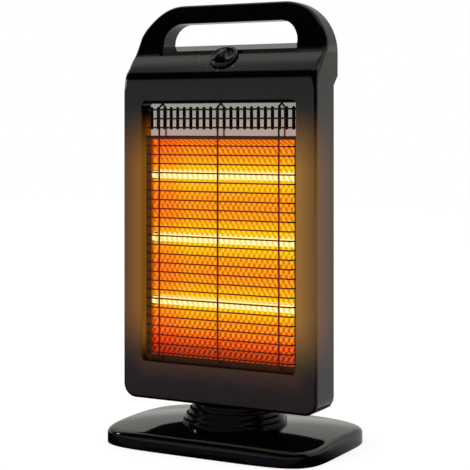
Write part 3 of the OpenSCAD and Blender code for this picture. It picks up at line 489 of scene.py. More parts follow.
# the front surface at a height: flat front, roll, swollen slant of 45 degrees, hollow blend, leaning handle
def frontAt(z):
    s = shell
    roll, blend, diagonal = s["rollRadius"], s["blendRadius"], math.sqrt(0.5)
    corner = s["slopeTop"] + blend * math.tan(math.radians(22.5))
    rollCentre, blendCentre = s["front"] + roll, s["handleFront"] - blend
    y0, z0 = rollCentre - roll * diagonal, s["rollStart"] + roll * diagonal
    y1, z1 = blendCentre + blend * diagonal, corner - blend * diagonal
    if z <= s["rollStart"]:
        return s["front"]
    if z <= z0:
        return rollCentre - math.sqrt(roll ** 2 - (z - s["rollStart"]) ** 2)
    if z <= z1:
        share = (z - z0) / (z1 - z0)
        return y0 + (y1 - y0) * share - swellAt(share) * math.sqrt(2)
    if z <= corner:
        return blendCentre + math.sqrt(blend ** 2 - (z - corner) ** 2)
    return s["handleFront"] + s["lean"] * ease(z, corner, s["leanFull"])


def slopeAt(z):
    return (frontAt(z + 0.1) - frontAt(z - 0.1)) / 0.2


def frontProfile(inset, step=1.5):
    s = shell
    heights = [s["rollStart"] + i * step for i in range(int((s["top"] - s["rollStart"]) / step) + 5)]
    points = [(s["front"] + inset, s["low"] - spare)]
    for z in heights:
        length = math.hypot(1, slopeAt(z))
        points.append((frontAt(z) + inset / length, z - inset * slopeAt(z) / length))
    return points


def shellBlock(name, inset, back):
    s = shell
    side = prism(name, frontProfile(inset) + back, "x", -s["half"] - spare, s["half"] + spare)
    outline = roundedRect(-s["half"] + inset, s["half"] - inset, s["low"] + inset, s["top"] - inset,
                          s["cornerRadius"] - inset, s["archRadius"] - inset)
    face = prism("face", outline, "y", s["front"] - spare, s["headBack"] + 4 * spare)
    cut(side, face, "INTERSECT")
    return side


def backAt(z):
    s = shell
    share = min(1.0, max(0.0, (z - s["stepHeight"]) / s["stepRise"]))
    return s["sideBack"] + (s["headBack"] - s["sideBack"]) * share


# places up the right-hand outline: the lower corner, the straight side with a level at each bend, the arch
def sidePlaces():
    s = shell
    archLow = s["top"] - s["archRadius"]
    cornerSteps, rollSteps, slantSteps, archSteps = 12, 10, 8, 30
    levels = [s["stepHeight"], s["stepHeight"] + s["stepRise"], s["rollStart"], *s["sideLevels"]]
    levels += [s["rollStart"] + s["rollRadius"] * math.sin(math.radians(45 * i / rollSteps))
               for i in range(1, rollSteps + 1)]
    levels += [s["slantLow"] + i * (archLow - s["slantLow"]) / slantSteps for i in range(1, slantSteps)]
    turns = [math.radians(90 * i / archSteps) for i in range(archSteps + 1)]
    turns += [math.asin((s["slopeTop"] + level - archLow) / s["archRadius"]) for level in s["blendLevels"]]
    places = [("corner", math.radians(-90 + 90 * i / cornerSteps)) for i in range(cornerSteps + 1)]
    return places + [("side", z) for z in sorted(levels)] + [("arch", turn) for turn in sorted(turns)]


def placeAt(place, inset):
    s = shell
    kind, value = place
    if kind == "side":
        return s["half"] - inset, value
    if kind == "corner":
        radius, height = s["cornerRadius"], s["low"] + s["cornerRadius"]
    else:
        radius, height = s["archRadius"], s["top"] - s["archRadius"]
    return s["half"] - radius + (radius - inset) * math.cos(value), height + (radius - inset) * math.sin(value)


# the radius of the front edge at a height: more at the arch, and most beside the panel's roll
def edgeAt(z):
    s = shell
    radius = s["lowEdge"] + (s["archEdge"] - s["lowEdge"]) * ease(z, *s["archEdgeRise"])
    return radius + s["panelEdge"] * ease(z, *s["panelEdgeRise"]) * (1 - ease(z, *s["panelEdgeFall"]))


# half rings from the rounded front edge to the rear edge
def shellRings(places, edgeSteps=7):
    rings = []
    for i in range(edgeSteps + 1):
        turn = math.radians(90 * i / edgeSteps)
        ring = []
        for place in places:
            radius = edgeAt(placeAt(place, 0)[1])
            x, z = placeAt(place, radius * (1 - math.sin(turn)))
            ring.append((x, frontAt(z) + radius * (1 - math.cos(turn)) * math.hypot(1, slopeAt(z)), z))
        rings.append(ring)
    edge = shell["rearEdge"]
    for inset, ahead in ((0.0, edge), (0.3 * edge, 0.3 * edge), (edge, 0.0)):
        ring = [placeAt(place, inset) for place in places]
        rings.append([(x, backAt(z) - ahead, z) for x, z in ring])
    return rings


# the outer form: the half rings mirrored, joined to one another, and closed by strips from side to side
def shellForm(name):
    rings = shellRings(sidePlaces())
    count, points, faces = 2 * len(rings[0]), [], []
    for ring in rings:
        points += ring + [(-x, y, z) for x, y, z in reversed(ring)]
    for level in range(len(rings) - 1):
        a, b = level * count, (level + 1) * count
        faces += [(a + k, a + (k + 1) % count, b + (k + 1) % count, b + k) for k in range(count)]
    for start in (0, (len(rings) - 1) * count):
        last = start + count - 1
        faces += [(start + k, start + k + 1, last - k - 1, last - k) for k in range(count // 2 - 1)]
    piece = meshPiece(name, points, [], faces)
    editAll(piece)
    closeForm()
    return piece


# the grip's opening, whose floor rises to the back
def gripTool(grow, front, back):
    s = shell
    half = s["gripHalf"] + grow
    outline = roundedRect(-half, half, s["gripFloor"] - grow - s["gripLow"], s["gripTop"] + grow,
                          s["gripLowRadius"], s["gripRadius"] + grow)
    tool = prism("grip", outline, "y", front, back)
    rise = s["gripRise"] / (s["headBack"] - s["handleFront"])
    ends = (front - 1, back + 1)
    floor = [(y, s["gripFloor"] - grow + rise * (y - s["handleFront"])) for y in ends]
    wedge = prism("wedge", floor + [(y, s["top"]) for y in reversed(ends)], "x", -half - 1, half + 1)
    cut(tool, wedge, "INTERSECT")
    return tool


def ledgeTool(name, wall):
    s = shell
    reach, back = s["ledgeHalf"] + wall, s["ledgeBack"] + wall
    return block(name, (-reach, s["ledgeBack"] - s["ledgeDepth"], s["ledge"] - wall),
                 (reach, back, s["ledge"] + s["ledgeHeight"]))


def windowTool(name, wall, ahead, back):
    s = shell
    half, radius = s["windowHalf"] + wall, s["windowRadius"] + wall
    outline = roundedRect(-half, half, s["windowLow"] - wall, s["windowHigh"] + wall, radius, radius, 6)
    return prism(name, outline, "y", s["front"] - ahead, back)


# what the shell holds inside: its hollow less the walls of the grip, the ledge and the window's return
def shellCavity():
    s = shell
    rear = s["headBack"] + spare
    cavity = shellBlock("cavity", s["wall"], [(rear, s["top"] + spare), (rear, s["low"] - spare)])
    cut(cavity, gripTool(s["wall"], s["handleFront"] - s["gripWallPast"], s["headBack"] + s["gripWallPast"]))
    cut(cavity, ledgeTool("ledgeWall", s["wall"]))
    cut(cavity, windowTool("returnWall", s["returnWall"], ahead=1, back=s["returnBack"]))
    return cavity


# how much of the full rounding an edge of the openings gets, by where its middle lies
def openingShare(middle):
    s, share = shell, shell["rounded"]
    grip = abs(middle.x) < s["gripHalf"] + 2 and s["gripFloor"] - 4 < middle.z < s["gripTop"] + 1
    if grip and middle.y < s["ledgeBack"] + 6 and middle.z > s["gripFloor"] + 3:
        return share["gripFront"]
    if grip and middle.y > s["headBack"] - 2:
        return share["gripBack"]
    if grip and abs(middle.y - s["ledgeBack"]) < 1 and middle.z > s["gripFloor"] - 3:
        return share["ledge"]
    return share["window"] if middle.y < s["front"] + 2 else 0.0


# gloss all over, but satin on the flat frame, and dull black for painted shade underneath and on the ledge's
# riser
def shellSlot(face):
    s = shell
    x, y, z = face.center / mm
    if face.normal.y < -0.999 and abs(y - s["front"]) < 0.05:
        return 1
    inLedge = abs(x) < s["ledgeHalf"] + 0.5 and s["ledge"] - 0.1 < z < s["gripFloor"]
    riser = inLedge and face.normal.y < -0.7 and abs(y - s["ledgeBack"]) < 1.2
    under = face.normal.z < -0.9 and z < s["low"] + 1
    return 2 if under or riser else 0


def makeFrontShell():
    s = shell
    piece = shellForm("frontShell")
    cut(piece, shellCavity())
    cut(piece, gripTool(0.0, s["handleFront"] - s["gripAhead"], s["headBack"] + spare))
    cut(piece, ledgeTool("ledge", 0.0))
    cut(piece, windowTool("window", 0.0, ahead=spare, back=s["returnBack"] + 3))
    roundEdges(piece, s["openingEdge"], 4, openingShare, 40)
    paint(piece, glossBlack, panelBlack, dullShadeBlack)
    for face in piece.data.polygons:
        face.material_index = shellSlot(face)
    smooth(piece, 30)
    evenNormals(piece)
    # painted shade: the return's upper lip is a dull black block, so the band under the window's top reads dark
    brow = block("brow", (-s["windowHalf"], s["browFront"], s["browLow"]),
                 (s["windowHalf"], s["browBack"], s["browHigh"]))  # the return's upper lip
    paint(brow, dullShadeBlack)
    return joinPieces("frontShell", [piece, brow])


frontShell = makeFrontShell()
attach(frontShell, "head")
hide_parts("front_shell")
print("front shell made")


# rear shell: a cover with tapered sides, louvres and screw wells, and the plate that closes the handle's back
rear = {
    "rim": 129.6, "back": 104.0, "seam": 0.5, "depth": 45.0, "crest": 445.95, "crestBack": 12.0, "slant": 21.0,
    "low": 50.95, "corner": 14.3, "wall": 2.5, "edge": 3.5, "holeEdge": 0.5,
    "toolTop": 600.0, "toolRadius": 20.0, "toolReach": (-30.0, 80.0), "slatReach": (39.0, 49.0),
    "slatLow": 115.0, "slatPitch": 12.0, "slats": 22, "slatHeight": 4.0, "slatLength": 62.0, "slatX": 48.1,
    "slatRadius": 1.9, "screwX": 98.0, "screwLow": 71.95, "screwHigh": 431.95,
    "wellRadius": 4.2, "wellFloor": 5.5, "wellDepth": 60.0,
    "plateLow": 8.0, "plate": 2.5, "plateSunk": 0.05, "plateGap": 0.2,
}


# the cover's solid: its side view, cut by its plan and by its rounded lower corners, whose tool reaches past it
def rearBlock(name, inset):
    r = rear
    rim, back, low = r["rim"] - inset, r["back"] - inset, r["low"] + inset
    depth, crest, front = r["depth"] - inset, r["crest"] - inset, r["seam"] - inset * 2
    piece = prism(name, [(front, low), (depth, low), (depth, crest - r["slant"]), (r["crestBack"], crest),
                         (front, crest)], "x", -rim - 2, rim + 2)
    side = [(rim, r["seam"]), (back, depth), (back, depth + spare)]
    plan = [(-rim, front - 1), (rim, front - 1)] + side + [(-x, y) for x, y in reversed(side)]
    cut(piece, prism("plan", plan, "z", low - spare, crest + spare), "INTERSECT")
    outline = roundedRect(-rim, rim, low, r["toolTop"], r["corner"] - inset, r["toolRadius"], 8)
    cut(piece, prism("corners", outline, "y", *r["toolReach"]), "INTERSECT")
    return piece


def slatTools():
    r = rear
    half = r["slatLength"] / 2
    outline = roundedRect(-half, half, 0, r["slatHeight"], r["slatRadius"], r["slatRadius"], 3)
    slat = prism("slat", outline, "y", *r["slatReach"])
    slats = [copyMoved(slat, x=x, z=r["slatLow"] + row * r["slatPitch"])
             for x in (-r["slatX"], r["slatX"]) for row in range(r["slats"])]
    remove(slat)
    return joinPieces("slats", slats)


def wellTool(x, z):
    r = rear
    middle = r["wellFloor"] + r["wellDepth"] / 2
    bpy.ops.mesh.primitive_cylinder_add(vertices=32, radius=r["wellRadius"] * mm, depth=r["wellDepth"] * mm,
                                        rotation=(math.pi / 2, 0, 0), location=(x * mm, middle * mm, z * mm))
    well = bpy.context.object
    freeze(well)
    return well


def handlePlate():
    s, r = shell, rear
    inset = s["wall"] + r["plateGap"]
    outline = roundedRect(-s["half"] + inset, s["half"] - inset, s["stepHeight"] + r["plateLow"],
                          s["top"] - inset, 1.0, s["archRadius"] - inset)
    plate = prism("handleBack", outline, "y", s["headBack"] - r["plate"], s["headBack"] - r["plateSunk"])
    cut(plate, gripTool(inset, s["headBack"] - 2 * spare, s["headBack"] + 2 * spare))
    roundEdges(plate, r["holeEdge"], 2, lambda middle: 1.0 if middle.y > s["headBack"] - 0.5 else 0.0, 40)
    return plate


def makeRearShell():
    r = rear
    piece = rearBlock("rearShell", 0.0)
    roundEdges(piece, r["edge"], 4, lambda middle: 0.0 if middle.y < 2 else 1.0, 18)
    cut(piece, rearBlock("hollow", r["wall"]))
    cut(piece, slatTools())
    for x in (-r["screwX"], r["screwX"]):
        for z in (r["screwLow"], r["screwHigh"]):
            cut(piece, wellTool(x, z))
    roundEdges(piece, r["holeEdge"], 2, lambda middle: 1.0 if middle.y > r["depth"] - 1 else 0.0, 40)
    piece = joinPieces("rearShell", [piece, handlePlate()])
    paint(piece, satinBlack, dullShadeBlack)
    # painted shade: the faces underneath are dull black
    for face in piece.data.polygons:
        face.material_index = 1 if face.normal.z < -0.9 and face.center.z / mm < r["low"] + 1 else 0
    smooth(piece, 30)
    evenNormals(piece)
    return piece


rearShell = makeRearShell()
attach(rearShell, "head")
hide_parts("rear_shell")
print("rear shell made")


# wire guard: level wires bent back at both ends, and uprights hooked over the window's edges
guard = {
    "wire": 0.9, "pitch": 11.0, "count": 28, "low": 108.95, "face": -45.0, "reach": 98.0, "end": 103.0,
    "back": -36.2, "bend": 3.0, "spread": 1.6,
    "upright": 1.2, "uprightFace": -43.3, "uprightX": 82.04, "bendTop": 408.5, "bendLow": 105.5,
    "middle": 250.0, "hook": 2.0, "hookSpread": 1.2, "hookTop": 4.0, "hookLow": 5.0,
}


def wire(name, points, radius):
    curve = bpy.data.curves.new(name, "CURVE")
    curve.dimensions = "3D"
    curve.bevel_depth = radius * mm
    curve.bevel_resolution = 2
    curve.use_fill_caps = True
    curve.resolution_u = 3
    spline = curve.splines.new("NURBS")
    spline.points.add(len(points) - 1)
    for spot, (x, y, z) in zip(spline.points, points):
        spot.co = (x * mm, y * mm, z * mm, 1)
    spline.order_u = 3
    spline.use_endpoint_u = True
    piece = bpy.data.objects.new(name, curve)
    bpy.context.collection.objects.link(piece)
    pick(piece)
    bpy.ops.object.convert(target="MESH")
    return bpy.context.object


def levelWire():
    g = guard
    half = [(g["reach"] - g["bend"], g["face"]), (g["reach"], g["face"]),
            (g["reach"] + g["spread"], g["face"] + g["bend"]), (g["end"], g["back"])]
    plan = [(-x, y) for x, y in reversed(half)] + [(0, g["face"])] + half
    return wire("guardWire", [(x, y, g["low"]) for x, y in plan], g["wire"])


def upright(x):
    g = guard
    low, top, face = g["bendLow"], g["bendTop"], g["uprightFace"]
    rise = [(g["back"], low - g["hookLow"]), (face + g["hook"], low - g["hookSpread"]), (face, low),
            (face, low + g["bend"]), (face, g["middle"]), (face, top - g["bend"]), (face, top),
            (face + g["hook"], top + g["hookSpread"]), (g["back"], top + g["hookTop"])]
    return wire("guardUpright", [(x, y, z) for y, z in rise], g["upright"])


def makeGuard():
    g = guard
    first = levelWire()
    wires = [first] + [copyMoved(first, z=row * g["pitch"]) for row in range(1, g["count"])]
    wires += [upright(x) for x in (-g["uprightX"], 0, g["uprightX"])]
    piece = joinPieces("guardWires", wires)
    paint(piece, wireBlack)
    smooth(piece, 50)
    return piece


guardWires = makeGuard()
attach(guardWires, "head")
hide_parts("guard_grille")
print("guard made")


# reflector's dimpled face, laid over the folded dish; a cell is one dimple, and rows lean away from the lamps
dish = {
    "half": 98.4, "low": 105.0, "high": 369.9, "mouth": -35.4, "floor": -23.4, "draft": 5.4, "step": 0.95,
    "cellX": 7.15, "cellZ": 5.7, "dimple": 1.0, "leanAbove": 0.30, "leanBelow": -0.10,
    "holeRadius": 5.3, "holeFrom": 92.5,
}
lamps = {
    "y": -29.9, "heights": (170.95, 248.45, 325.95), "radius": 4.5, "bore": 3.5, "reach": 117.0,
    "lip": (0.3, 0.4), "coilTurns": 110, "turnSteps": 10, "coilRadius": 1.3, "coilWire": 0.35,
    "discRadius": 2.6, "discPitch": 7.5, "discs": 30,
}

# how the lit face looks, all painted light: dull bars and lines between the bumps, a painted reflection above
# each lamp, a painted shade on the rim, and the colours of bumps and gaps by the lamps' light that reaches them
lit = {
    "spread": 22.0, "hotter": 0.05, "bar": (0.19, 0.36), "barEnd": (0.36, 0.52), "line": (0.34, 0.5),
    "lineShare": 0.55, "imageUp": 5.2, "imageHalf": 1.5, "imageSoft": 0.9, "image": (1.0, 0.93, 0.36),
    "rim": 0.06, "rimWidth": 0.5, "edge": 0.75, "redder": 0.35, "redderLeft": (50.0, 84.0),
    "bump": [(0.14, (0.56, 0.062, 0.014)), (0.20, (0.95, 0.13, 0.01)), (0.24, (1.0, 0.19, 0.013)),
             (0.29, (1.0, 0.29, 0.012)), (0.36, (1.0, 0.36, 0.015)), (0.5, (1.0, 0.39, 0.015)),
             (0.6, (1.0, 0.44, 0.014)), (0.7, (1.0, 0.5, 0.012)), (0.82, (1.0, 0.62, 0.01)),
             (1.0, (1.0, 0.68, 0.01))],
    "gap": [(0.14, (0.12, 0.0, 0.0)), (0.20, (0.38, 0.003, 0.0)), (0.24, (0.42, 0.008, 0.0)),
            (0.29, (0.53, 0.026, 0.0)), (0.36, (0.56, 0.04, 0.0)), (0.5, (0.63, 0.075, 0.0)),
            (0.6, (0.68, 0.11, 0.0)), (0.7, (0.72, 0.15, 0.0)), (0.82, (0.76, 0.22, 0.0)),
            (1.0, (0.8, 0.3, 0.0))],
}


# painted light: the face glows by the tint that its vertices hold, over an orange metal tone that stands in for
# the lamps' light too
def reflectorFinish(name, base, roughness, grain=300.0, wander=0.2):
    material, tree, shader = newMaterial(name)
    tint = tree.nodes.new("ShaderNodeAttribute")
    tint.attribute_name = "glowTint"
    glowBy(material, tint.outputs["Color"])
    cloudy = noise(tree, objectCoords(tree), grain)
    rough = fade(tree, cloudy, *surface["clouds"], roughness * (1 - wander), roughness * (1 + wander))
    tree.links.new(rough, shader.inputs["Roughness"])
    shader.inputs["Base Color"].default_value = (*base, 1)
    shader.inputs["Metallic"].default_value = 1.0
    return material


reflectorGlow = reflectorFinish("reflectorGlow", (0.22, 0.09, 0.015), 0.3)


# where a spot lies in its dimple, across and up, each -0.5 to 0.5; rows stand half a dimple apart
def dimpleAt(x, z):
    d = dish
    row = round((z - d["low"]) / d["cellZ"])
    up = (z - d["low"]) / d["cellZ"] - row
    nearest = min(lamps["heights"], key=lambda height: abs(z - height))
    lean = d["leanAbove"] if z > nearest else d["leanBelow"]
    across = x / d["cellX"] + lean * up + 0.5 * (row % 2)
    return across - round(across), up


# how far a spot is from the dish's left or right edge, in widths of the sloping wall
def fromSide(x):
    return (dish["half"] - abs(x)) / dish["draft"]


# how deep a spot lies, 0 at the dish's mouth and 1 on its floor
def depthAt(x, z):
    d = dish
    return min(1.0, fromSide(x), (z - d["low"]) / d["draft"], (d["high"] - z) / d["draft"])


# the dimples run on up the side walls, which are deeper than they are wide
def patternAt(x, z):
    d = dish
    alongWall = max(0.0, 1 - fromSide(x)) * (d["floor"] - d["mouth"] - d["draft"])
    return dimpleAt(x + math.copysign(alongWall, x), z)


def blendColour(stops, value):
    for (a, first), (b, second) in zip(stops, stops[1:]):
        if value <= b:
            t = max(0.0, (value - a) / (b - a))
            return [p + (q - p) * t for p, q in zip(first, second)]
    return list(stops[-1][1])


# the lamps' light painted onto a spot from the three lamps, a little more at the top and on the right
def heatAt(x, z):
    d = dish
    upward = (2 * z - d["low"] - d["high"]) / (d["high"] - d["low"])
    lampLight = sum(1 / (1 + ((z - height) / lit["spread"]) ** 2) for height in lamps["heights"])
    return lampLight * (1 + lit["hotter"] * upward) * (1 + lit["hotter"] * x / d["half"])


# painted light and shade: the lamps' glow and their reflections, darker on the dish's rim and side walls
def glowAt(x, z):
    across, up = patternAt(x, z)
    bar = ease(abs(across), *lit["bar"]) * (1 - ease(abs(up), *lit["barEnd"]))
    gap = max(bar, lit["lineShare"] * ease(abs(up), *lit["line"]))
    image = max(ease(lit["imageHalf"] - abs(z - height - lit["imageUp"]), 0.0, lit["imageSoft"])
                for height in lamps["heights"])
    lampLight = heatAt(x, z)
    bump = [a + (b - a) * image for a, b in zip(blendColour(lit["bump"], lampLight), lit["image"])]
    shade = lit["rim"] + (1 - lit["rim"]) * ease(fromSide(x), 0.0, lit["rimWidth"])
    if depthAt(x, z) <= 0.95 and fromSide(x) >= 1:
        shade *= lit["edge"]
    red, green, blue = [(b * (1 - gap) + a * gap) * shade for a, b in zip(blendColour(lit["gap"], lampLight), bump)]
    return [red, green * (1 - lit["redder"] * ease(-x, *lit["redderLeft"]) * (1 - image)), blue, 1.0]


def faceAt(x, z):
    d = dish
    depth = depthAt(x, z)
    across, up = patternAt(x, z)
    raised = math.cos(math.pi * across) * math.cos(math.pi * up)
    bump = d["dimple"] * max(0.0, raised) if depth > 0.9 else 0.0
    return d["mouth"] + (d["floor"] - d["mouth"]) * max(0.0, depth) - bump


# the lamps pass through the side walls
def inLampHole(vertex):
    x, y, z = vertex.co / mm
    return abs(x) > dish["holeFrom"] and any(
        math.hypot(y - lamps["y"], z - height) < dish["holeRadius"] for height in lamps["heights"])


def makeReflectorFace():
    d = dish
    wide, tall = [int(size / d["step"]) for size in (2 * d["half"], d["high"] - d["low"])]
    bpy.ops.mesh.primitive_grid_add(x_subdivisions=wide, y_subdivisions=tall, size=2,
                                    rotation=(math.pi / 2, 0, 0))
    piece = bpy.context.object
    piece.name = "reflectorFace"
    freeze(piece)
    tint = piece.data.color_attributes.new("glowTint", "FLOAT_COLOR", "POINT")
    for vertex in piece.data.vertices:
        x = vertex.co.x * d["half"]
        z = (d["low"] + d["high"]) / 2 + vertex.co.z * (d["high"] - d["low"]) / 2
        vertex.co = (x * mm, faceAt(x, z) * mm, z * mm)
        tint.data[vertex.index].color = glowAt(x, z)
    work = bmesh.new()
    work.from_mesh(piece.data)
    bmesh.ops.delete(work, geom=[vertex for vertex in work.verts if inLampHole(vertex)], context="VERTS")
    work.to_mesh(piece.data)
    work.free()
    paint(piece, reflectorGlow)
    smooth(piece, 80)
    return piece


reflectorFace = makeReflectorFace()
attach(reflectorFace, "head")
print("reflector face made")


# quartz seen lit: a bright blob at each disc of the coil, a paler tone between them, and a line above them
quartz = {
    "blobPitch": 0.0073, "slant": 0.12, "sink": 0.0014, "blobHeight": (0.0042, 0.0028), "between": 0.38,
    "line": (0.0030, 0.0037), "lineLevel": 0.6, "lineBlob": 0.3,
    "colours": [(0.0, (0.80, 0.42, 0.02)), (0.38, (0.70, 0.50, 0.06)), (0.6, (0.90, 0.78, 0.22)),
                (0.8, (1.0, 0.96, 0.42)), (1.0, (1.0, 1.0, 0.62))],
    "base": (0.25, 0.18, 0.08, 1), "roughness": 0.05, "alpha": 0.85,
}


def quartzFinish(name):
    q = quartz
    material, tree, shader = newMaterial(name)
    x, y, z = objectPlace(tree)
    lowest, pitch = lamps["heights"][0] * mm, (lamps["heights"][1] - lamps["heights"][0]) * mm
    fromMiddle = less(tree, sums(tree, "MODULO", less(tree, z, lowest - pitch / 2), pitch), pitch / 2)
    along = plus(tree, x, times(tree, fromMiddle, q["slant"]))
    wave = sums(tree, "COSINE", times(tree, along, 2 * math.pi / q["blobPitch"]))
    blob = plus(tree, times(tree, wave, 0.5), 0.5)
    core = fade(tree, sums(tree, "ABSOLUTE", plus(tree, fromMiddle, q["sink"])), *q["blobHeight"])
    blobs = times(tree, plus(tree, times(tree, blob, 1 - q["between"]), q["between"]), core)
    lineLevel = plus(tree, times(tree, blob, q["lineBlob"]), q["lineLevel"])
    line = times(tree, fade(tree, fromMiddle, *q["line"]), lineLevel)
    glowBy(material, ramp(tree, sums(tree, "MAXIMUM", blobs, line), q["colours"]))
    shader.inputs["Base Color"].default_value = q["base"]
    shader.inputs["Roughness"].default_value = q["roughness"]
    shader.inputs["Alpha"].default_value = q["alpha"]
    return material


lampQuartz = quartzFinish("lampQuartz")
coilHot = finish("coilHot", (0.9, 0.6, 0.25), 0.4, 0.8, 400.0, 0.05)
shaderOf(coilHot).inputs["Emission Color"].default_value = (1.0, 0.86, 0.5, 1)
shaderOf(coilHot).inputs["Emission Strength"].default_value = 0.7


def makeTube(name, height):
    l = lamps
    inset, rise = l["lip"]
    half = [(l["bore"], l["reach"]), (l["radius"] - inset, l["reach"]), (l["radius"], l["reach"] - rise)]
    profile = [(radius, -end) for radius, end in half] + list(reversed(half)) + [(l["bore"], -l["reach"])]
    tube = turned(name, profile, 32)
    tube.data.transform(Matrix.Rotation(math.pi / 2, 4, "Y"))
    tube.data.transform(Matrix.Translation((0, l["y"] * mm, height * mm)))
    paint(tube, lampQuartz)
    smooth(tube, 40)
    return tube


def makeCoil(name, height):
    l = lamps
    steps = l["coilTurns"] * l["turnSteps"]
    points = []
    for i in range(steps + 1):
        a = 2 * math.pi * i / l["turnSteps"]
        points.append((-l["reach"] + 2 * l["reach"] * i / steps, l["y"] + l["coilRadius"] * math.cos(a),
                       height + l["coilRadius"] * math.sin(a)))
    coil = wire("coil", points, l["coilWire"])
    bpy.ops.mesh.primitive_torus_add(major_radius=l["discRadius"] * mm, minor_radius=l["coilWire"] * mm,
                                     major_segments=20, minor_segments=6, rotation=(0, math.pi / 2, 0),
                                     location=(l["discPitch"] / 2 * mm, l["y"] * mm, height * mm))
    disc = bpy.context.object
    freeze(disc)
    discs = [copyMoved(disc, x=(i - l["discs"] // 2) * l["discPitch"]) for i in range(l["discs"])]
    remove(disc)
    coil = joinPieces(name, [coil] + discs)
    paint(coil, coilHot)
    smooth(coil, 60)
    return coil


for number, height in enumerate(lamps["heights"], 1):
    tube = makeTube("lampTube" + str(number), height)
    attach(tube, "head")
    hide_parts("lamp_tube_" + str(number))
    coil = makeCoil("lampCoil" + str(number), height)
    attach(coil, "head")
    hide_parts("filament_" + str(number))
print("lamps made")


# base: a squared oval whose crown is level in the middle and falls away to the ends, the front and the back
foot = {
    "a": 144.0, "b": 97.5, "power": 5.3, "low": 0.3, "top": 26.0,
    "crown": 850.0, "level": 52.0, "endCrown": 770.0,
    "edge": 5.5, "edgeSteps": 6, "hem": 0.5, "hemRise": 0.6, "wall": 2.4, "steps": 160, "hole": 12.4,
    "shares": (0.97, 0.92, 0.85, 0.76, 0.66, 0.56, 0.46, 0.36, 0.27, 0.19),
}


def ovalPoint(inset, turn):
    a, b, n = foot["a"] - inset, foot["b"] - inset, foot["power"]
    c, s = math.cos(turn), math.sin(turn)
    r = (abs(c / a) ** n + abs(s / b) ** n) ** (-1 / n)
    return r * c, r * s


def crownAt(x, y):
    beyond = max(0.0, abs(x) - foot["level"])
    return foot["top"] - y * y / (2 * foot["crown"]) - beyond * beyond / (2 * foot["endCrown"])


# the cover's rings, from its hem over the rounded edge to the hole for the pivot
def coverRings():
    f = foot
    turns = [2 * math.pi * i / f["steps"] for i in range(f["steps"])]
    outer, inner = [[ovalPoint(inset, turn) for turn in turns] for inset in (0.0, f["edge"])]
    rings = [[(*ovalPoint(f["hem"], turn), f["low"]) for turn in turns]]
    rings.append([(x, y, f["low"] + f["hemRise"]) for x, y in outer])
    rings.append([(x, y, crownAt(x, y) * 0.5) for x, y in outer])
    for i in range(f["edgeSteps"] + 1):
        rise = math.radians(90 * i / f["edgeSteps"])
        inset, drop = f["edge"] * (1 - math.cos(rise)), f["edge"] * (1 - math.sin(rise))
        ring = [ovalPoint(inset, turn) for turn in turns]
        rings.append([(x, y, crownAt(x, y) - drop) for x, y in ring])
    flat = [[(x * share, y * share) for x, y in inner] for share in f["shares"]]
    flat.append([(f["hole"] * math.cos(turn), f["hole"] * math.sin(turn)) for turn in turns])
    return rings + [[(x, y, crownAt(x, y)) for x, y in ring] for ring in flat]


def makeBase():
    f = foot
    bpy.ops.mesh.primitive_circle_add(vertices=f["steps"], radius=1)
    piece = bpy.context.object
    piece.name = "baseCover"
    rings = coverRings()
    for vertex, (x, y, z) in zip(piece.data.vertices, rings[0]):
        vertex.co = (x * mm, y * mm, z * mm)
    editAll(piece)
    for ring in rings[1:]:
        bpy.ops.mesh.extrude_region_move()
        work = bmesh.from_edit_mesh(piece.data)
        grown = sorted((vertex for vertex in work.verts if vertex.select), key=lambda vertex: vertex.index)
        for vertex, (x, y, z) in zip(grown, ring):
            vertex.co = (x * mm, y * mm, z * mm)
        bmesh.update_edit_mesh(piece.data)
    closeForm()
    modifier = piece.modifiers.new("wall", "SOLIDIFY")
    modifier.thickness = f["wall"] * mm
    modifier.offset = -1
    applyAll(piece)
    paint(piece, baseBlack)
    smooth(piece, 40)
    return piece


baseCover = makeBase()
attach(baseCover, "base")
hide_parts("base_cover")
print("base made")


# neck: three stepped rings on the base, hollow below, and the turntable disc above them
neck = {
    "radius": 64.0, "inward": 4.25, "ring": 6.0, "rings": 3, "low": 23.35, "start": 25.0,
    "round": 0.9, "step": 0.5, "hem": 1.0, "hemRise": 0.8,
    "bore": 12.3, "roof": 40.0, "hollow": [(50.0, 40.0), (52.0, 24.0)], "segments": 128,
    "tableRadius": 52.5, "tableBore": 15.2, "tableLow": 44.55, "tableTop": 50.9,
}


def makeNeckRings():
    n = neck
    k = n["round"]
    profile = [(n["bore"], n["roof"]), *n["hollow"], (n["radius"] - n["hem"], n["low"]),
               (n["radius"], n["low"] + n["hemRise"])]
    for ring in range(n["rings"]):
        radius, top = n["radius"] - ring * n["inward"], n["start"] + (ring + 1) * n["ring"]
        profile += arc(radius - k, top - k, k, 0, 90, 5)
        if ring < n["rings"] - 1:
            inner = radius - n["inward"]
            profile += [(inner + n["step"], top), (inner, top + n["step"])]
    profile += [(n["bore"], top), (n["bore"], n["roof"])]
    return turned("neckRings", profile, n["segments"])


def makeTurntable():
    n = neck
    r, low, top, k = n["tableRadius"], n["tableLow"], n["tableTop"], n["round"]
    profile = [(n["tableBore"], low), (r - k, low)]
    profile += arc(r - k, low + k, k, -90, 0, 4) + arc(r - k, top - k, k, 0, 90, 4)
    return turned("turntableDisc", profile + [(n["tableBore"], top), (n["tableBore"], low)], n["segments"])


neckRings = makeNeckRings()
turntableDisc = makeTurntable()
for piece in (neckRings, turntableDisc):
    paint(piece, neckBlack)
    smooth(piece, 40)
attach(neckRings, "base")
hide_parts("neck_collar")
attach(turntableDisc, "head")
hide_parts("turntable")
print("neck made")


